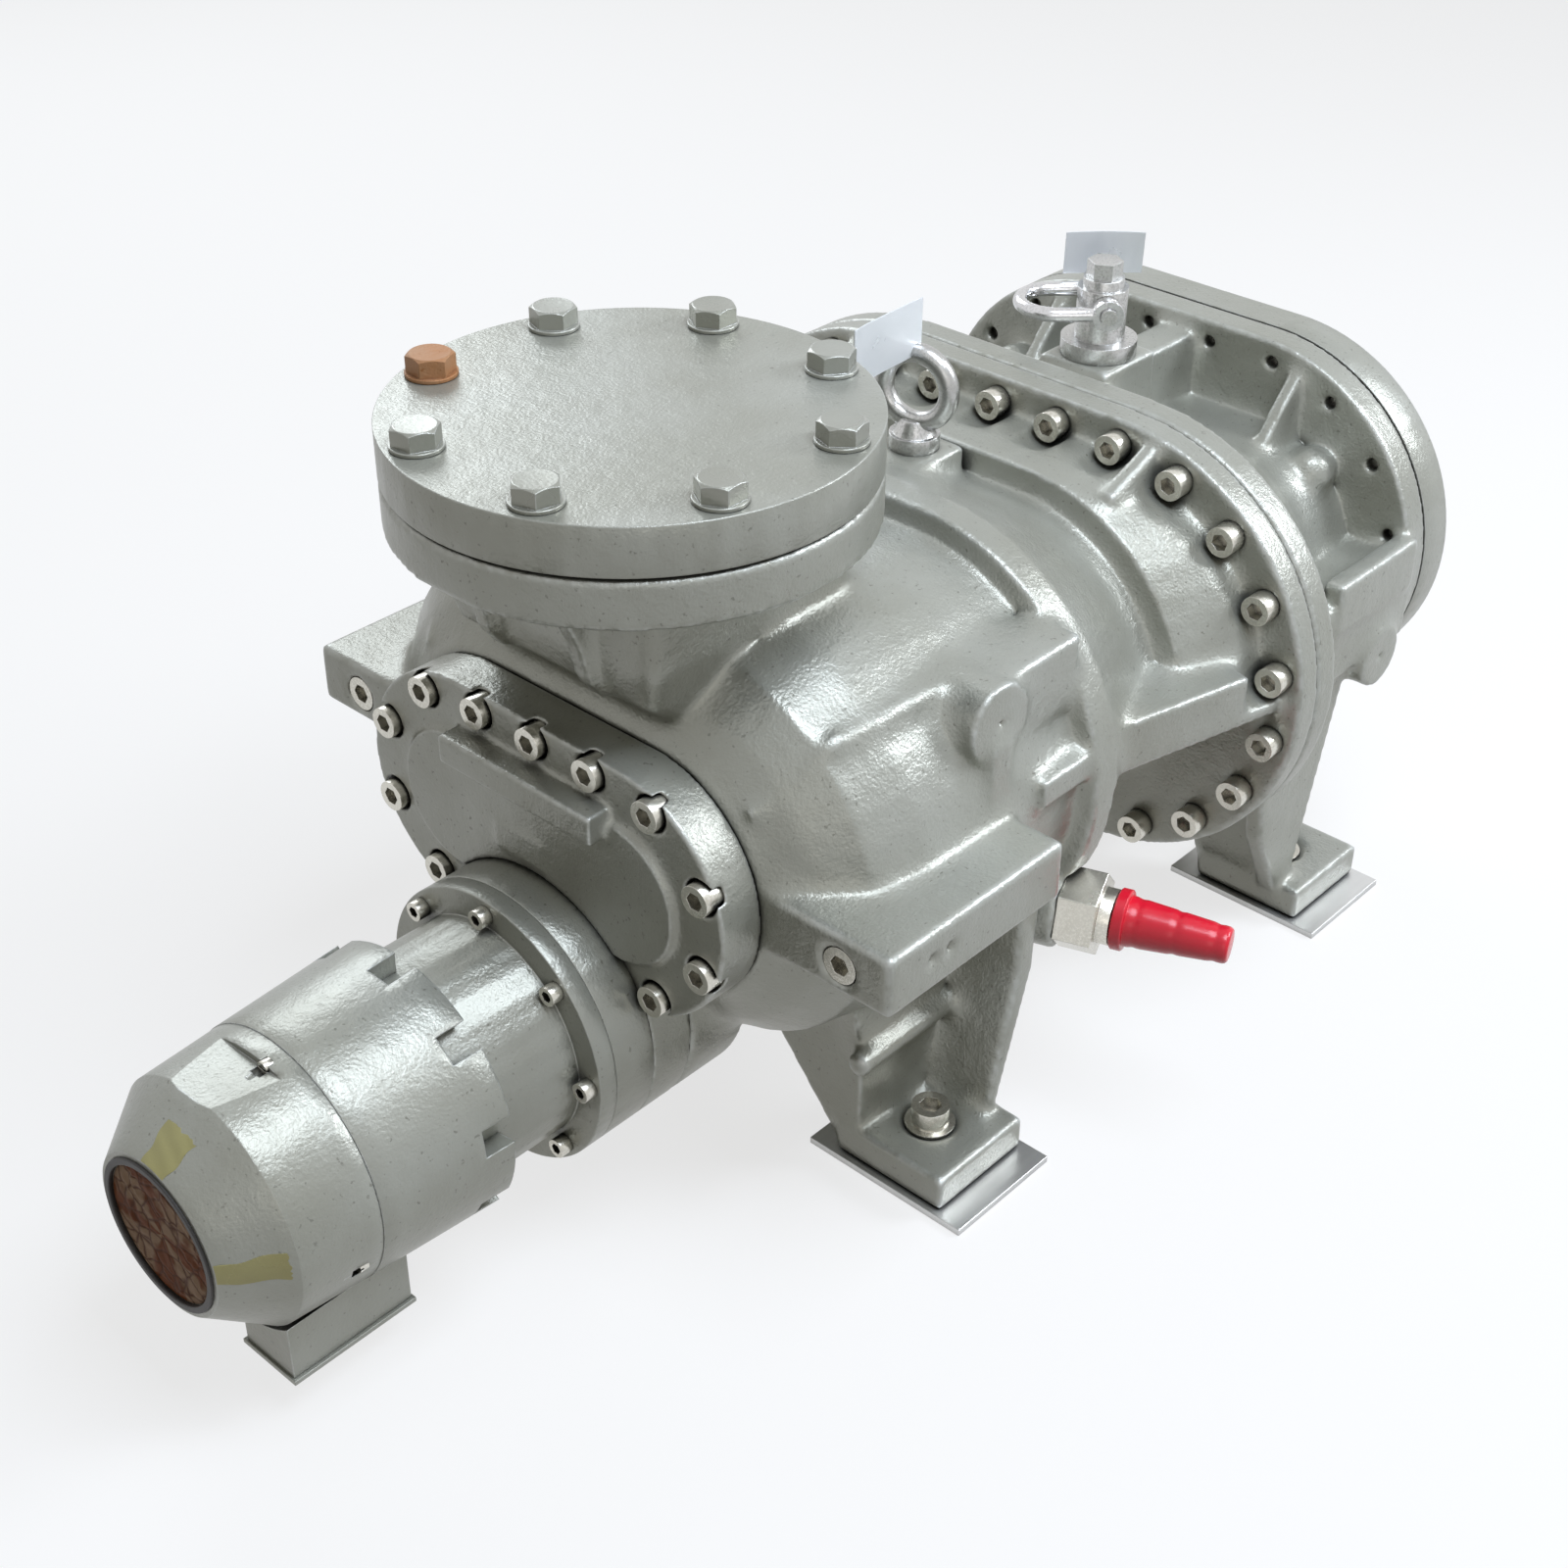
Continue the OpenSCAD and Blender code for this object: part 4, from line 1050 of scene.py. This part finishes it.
@dataclass
class CapTapes:
    """Two short strips of yellow tape that hold the window's film."""

    low_x: float = -446.0
    low_r: float = 62.0
    slope: float = 33 / 42
    z: float = 165.0
    strips: tuple[tuple[float, float, float], ...] = ((86.0, 107.0, -422.0), (168.0, 182.0, -409.0))

    def build(self) -> None:
        """Makes both strips as one piece."""
        rng = random.Random(5)
        solids = Solids()
        for first, last, end in self.strips:
            rag = [rng.uniform(-0.9, 0.9) for _ in range(13)]

            def front(u: float, v: float) -> Vector:
                """Point of the strip's front, u along the cone and v round it."""
                x = self.low_x + 0.2 + u * (end + rag[round(v * 12)] - self.low_x)
                turn = math.radians(first + (last - first) * v + 0.8 * math.sin(9 * u + first))
                wave = 0.25 * math.sin(14 * u + 5 * v)
                r = self.low_r + (x - self.low_x) * self.slope + 0.3 + wave
                return at(x, r * math.cos(turn), self.z + r * math.sin(turn))

            middle = math.radians((first + last) / 2)
            back = Vector((0.6, -0.8 * math.cos(middle), -0.8 * math.sin(middle))) * 0.7 * MM
            solids.sheet(16, 12, front, back)
        mesh = closed_mesh("film_tapes", solids.points, solids.faces)
        add_piece("film_tapes", mesh, "tape")


@dataclass
class DustCap:
    """Tapered red cap over the fitting, with a lip and grip rings."""

    length: float = 79.0
    start: float = 56.0
    wide_r: float = 20.0
    taper: float = 6.0
    ring_depth: float = 0.7
    rings: int = 5

    def build(self) -> None:
        """Makes the cap on its own moving body."""
        profile = [(78.0, 0.0), (78.0, 15.4), (47.0, 15.4), (47.0, 23.0)]
        profile += [(48.0, 24.0), (55.0, 24.0), (56.0, 23.0)]
        for k in range(41):
            d = self.start + 0.4 + (self.length - 3.4) * k / 40
            r = self.wide_r - self.taper * (d - self.start) / self.length
            groove = max(0.0, math.sin(self.rings * math.pi * k / 40)) ** 6
            profile.append((d, r - self.ring_depth * groove))
        profile += [(133.6, 13.6), (134.7, 12.4), (135.0, 11.0), (135.0, 0.0)]
        solids = Solids()
        solids.turned(profile, self.frame_at, 72)
        mesh = closed_mesh("dust_cap", solids.points, solids.faces)
        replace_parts(add_piece("dust_cap", mesh, "red_plastic", "red_cap_body"), "red_cap")

    def frame_at(self, u: float, v: float, d: float) -> Vector:
        """Turns the slanted fitting's own axes into the shared frame.

        Args:
            u: Millimetres to the side.
            v: Millimetres up.
            d: Millimetres along the fitting.

        Returns:
            The point.
        """
        c, n = math.cos(math.radians(20)), math.sin(math.radians(20))
        return at(214 + c * u + n * d, -228 + n * u - c * d, 188 + v)


@dataclass
class BlankTags:
    """Two thin sheet tags, slightly bent, with nothing on them."""

    hoist: Vector = field(default_factory=lambda: Vector((540, 0, 514)))
    pin_turn: float = 135.0
    thick: float = 0.9

    def build(self) -> None:
        """Makes both tags as one piece."""
        solids = Solids()
        solids.sheet(28, 14, self.eye_tag, Vector((0, self.thick, 0)) * MM)
        back = (self.pin(0, 1, 0) - self.pin(0, 0, 0)) * self.thick
        solids.sheet(24, 12, self.hoist_tag, back)
        solids.sheet(6, 8, lambda u, v: self.pin(-8 + 16 * u, -38.3, -8 + 20 * v), back)
        mesh = closed_mesh("blank_tags", solids.points, solids.faces)
        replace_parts(add_piece("blank_tags", mesh, "tag_sheet"), "notice_tags")

    def eye_tag(self, u: float, v: float) -> Vector:
        """Tag at the lifting eye, its free end curled.

        Args:
            u: Share along it.
            v: Share up it.

        Returns:
            The point in the shared frame.
        """
        curl = -7.0 * (1 - u) ** 2 + 1.4 * math.sin(5 * u + 1.5 * v)
        return at(220 + 84 * u, 0.3 + curl * (1 - u), 543 + 44 * v - 3 * (1 - u) * (1 - v))

    def hoist_tag(self, u: float, v: float) -> Vector:
        """Tag on the pin of the hoist ring.

        Args:
            u: Share along it.
            v: Share up it.

        Returns:
            The point in the shared frame.
        """
        middle = abs(u - 0.57)
        return self.pin(-38 + 66 * u, -38.3 + 9 * middle * middle * (0.4 + v), 10 + 36 * v)

    def pin(self, u: float, v: float, d: float) -> Vector:
        """Point from the middle of the hoist pin.

        Args:
            u: Millimetres across the pin.
            v: Millimetres along the pin.
            d: Millimetres up.

        Returns:
            The point in the shared frame.
        """
        c = math.cos(math.radians(self.pin_turn))
        n = math.sin(math.radians(self.pin_turn))
        return at(self.hoist.x + c * u - n * v, n * u + c * v, self.hoist.z + d)


@dataclass
class Studio:
    """Floor, light and camera."""

    eye: Vector
    target: Vector
    roll: float = 0.495
    lens: float = 52.68

    def build(self) -> None:
        """Makes the whole stage."""
        self.floor()
        self.world()
        self.lamp("key", Vector((-0.2, -1.2, 3.0)), 1.5, 62.0, (0.86, 0.95, 1.08))
        self.lamp("side", Vector((1.9, -1.9, 2.1)), 1.1, 62.0, (0.90, 0.96, 1.05))
        self.lamp("front", Vector((-2.6, -2.6, 1.5)), 1.6, 6.0, (1.0, 0.97, 0.92))
        self.lamp("back", Vector((0.9, 2.9, 2.3)), 1.6, 40.0, (0.90, 0.97, 1.05))
        self.camera()

    def floor(self) -> None:
        """A plain pale floor that keeps the object's shadow."""
        mesh = bpy.data.meshes.new("floor")
        reach = 14.0
        corners = [(-reach, -reach, 0), (reach, -reach, 0), (reach, reach, 0), (-reach, reach, 0)]
        mesh.from_pydata(corners, [], [(0, 1, 2, 3)])
        piece = bpy.data.objects.new("floor", mesh)
        bpy.context.scene.collection.objects.link(piece)
        mesh.materials.append(self.floor_paint())

    def floor_paint(self) -> bpy.types.Material:
        """Pale matt floor, nearly white where it is seen, with the shadow kept.

        Returns:
            Its material.
        """
        sheet = Sheet("floor")
        tree = sheet.tree
        seen = self.seen(tree)
        colour = sheet.blend(seen, (0.17, 0.155, 0.125), (0.88, 0.88, 0.88))
        sheet.join(colour, sheet.shader.inputs["Base Color"])
        sheet.shader.inputs["Roughness"].default_value = 0.9
        glow = tree.nodes.new("ShaderNodeEmission")
        glow.inputs["Color"].default_value = (1.0, 1.0, 1.0, 1.0)
        glow.inputs["Strength"].default_value = 1.0
        mix = tree.nodes.new("ShaderNodeMixShader")
        sheet.join(sheet.math("MULTIPLY", seen, 0.72), mix.inputs[0])
        sheet.join(sheet.shader.outputs[0], mix.inputs[1])
        sheet.join(glow.outputs[0], mix.inputs[2])
        sheet.join(mix.outputs[0], sheet.out.inputs[0])
        return sheet.material

    def seen(self, tree: bpy.types.NodeTree) -> Socket:
        """Tells the rays that see a surface from those that light others.

        Args:
            tree: The material's or world's nodes.

        Returns:
            1 for what is seen directly, in a reflection or through glass, else 0.
        """
        rays = tree.nodes.new("ShaderNodeLightPath")
        total = rays.outputs["Is Camera Ray"]
        for kind in ("Is Glossy Ray", "Is Transmission Ray"):
            node = tree.nodes.new("ShaderNodeMath")
            node.operation = "MAXIMUM"
            tree.links.new(total, node.inputs[0])
            tree.links.new(rays.outputs[kind], node.inputs[1])
            total = node.outputs[0]
        return total

    def world(self) -> None:
        """Even pale light from all round, white where the camera sees it."""
        world = bpy.data.worlds.new("studio")
        bpy.context.scene.world = world
        world.use_nodes = True
        tree = world.node_tree
        tree.nodes.clear()
        out = tree.nodes.new("ShaderNodeOutputWorld")
        seen = tree.nodes.new("ShaderNodeBackground")
        lit = tree.nodes.new("ShaderNodeBackground")
        mix = tree.nodes.new("ShaderNodeMixShader")
        seen.inputs["Color"].default_value = (1.0, 1.0, 1.0, 1.0)
        seen.inputs["Strength"].default_value = 1.0
        lit.inputs["Color"].default_value = (1.0, 0.97, 0.90, 1.0)
        lit.inputs["Strength"].default_value = 0.12
        tree.links.new(self.seen(tree), mix.inputs[0])
        tree.links.new(lit.outputs[0], mix.inputs[1])
        tree.links.new(seen.outputs[0], mix.inputs[2])
        tree.links.new(mix.outputs[0], out.inputs[0])

    def lamp(self, name: str, place: Vector, size: float, power: float, colour: Colour) -> None:
        """A square area lamp aimed at the middle of the machine.

        Args:
            name: Name of the lamp.
            place: Where it stands, in metres.
            size: Its side in metres.
            power: Its power in watts.
            colour: Its colour.
        """
        data = bpy.data.lights.new(name, "AREA")
        data.size = size
        data.energy = power
        data.color = colour
        lamp = bpy.data.objects.new(name, data)
        lamp.location = place
        lamp.rotation_mode = "QUATERNION"
        lamp.rotation_quaternion = (self.target - place).to_track_quat("-Z", "Y")
        bpy.context.scene.collection.objects.link(lamp)

    def camera(self) -> None:
        """The camera at the place fitted to the photograph."""
        data = bpy.data.cameras.new("camera")
        data.lens = self.lens
        data.sensor_width = 36.0
        camera = bpy.data.objects.new("camera", data)
        bpy.context.scene.collection.objects.link(camera)
        ahead = (self.target - self.eye).normalized()
        side = ahead.cross(Vector((0, 0, 1))).normalized()
        up = side.cross(ahead)
        turn = math.radians(self.roll)
        right = side * math.cos(turn) + up * math.sin(turn)
        upright = up * math.cos(turn) - side * math.sin(turn)
        axes = Matrix((right, upright, -ahead)).transposed()
        camera.matrix_world = Matrix.Translation(self.eye) @ axes.to_4x4()
        data.clip_start, data.clip_end = 0.05, 100.0
        bpy.context.scene.camera = camera
        bpy.context.scene.view_settings.view_transform = "Standard"


def main() -> None:
    """Builds every group in order."""
    logging.basicConfig(level=logging.INFO)
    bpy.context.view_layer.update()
    studio = Studio(at(-965.1, -1016.0, 1245.8), at(153.6, 0, 222.5))
    studio.build()
    CarriedNodes().build()
    cover = CastSkin("end_cover", voxel=1.7, fillet_steps=40, smooth_steps=10, seat_clear=2.0)
    skins = (CastSkin("main_casing"), CastSkin("head_casing"), cover)
    for part in (InletBolts(), IndicatorWindow(), CapTapes(), DustCap(), BlankTags(), *skins):
        part.build()


if __name__ == "__main__":
    main()
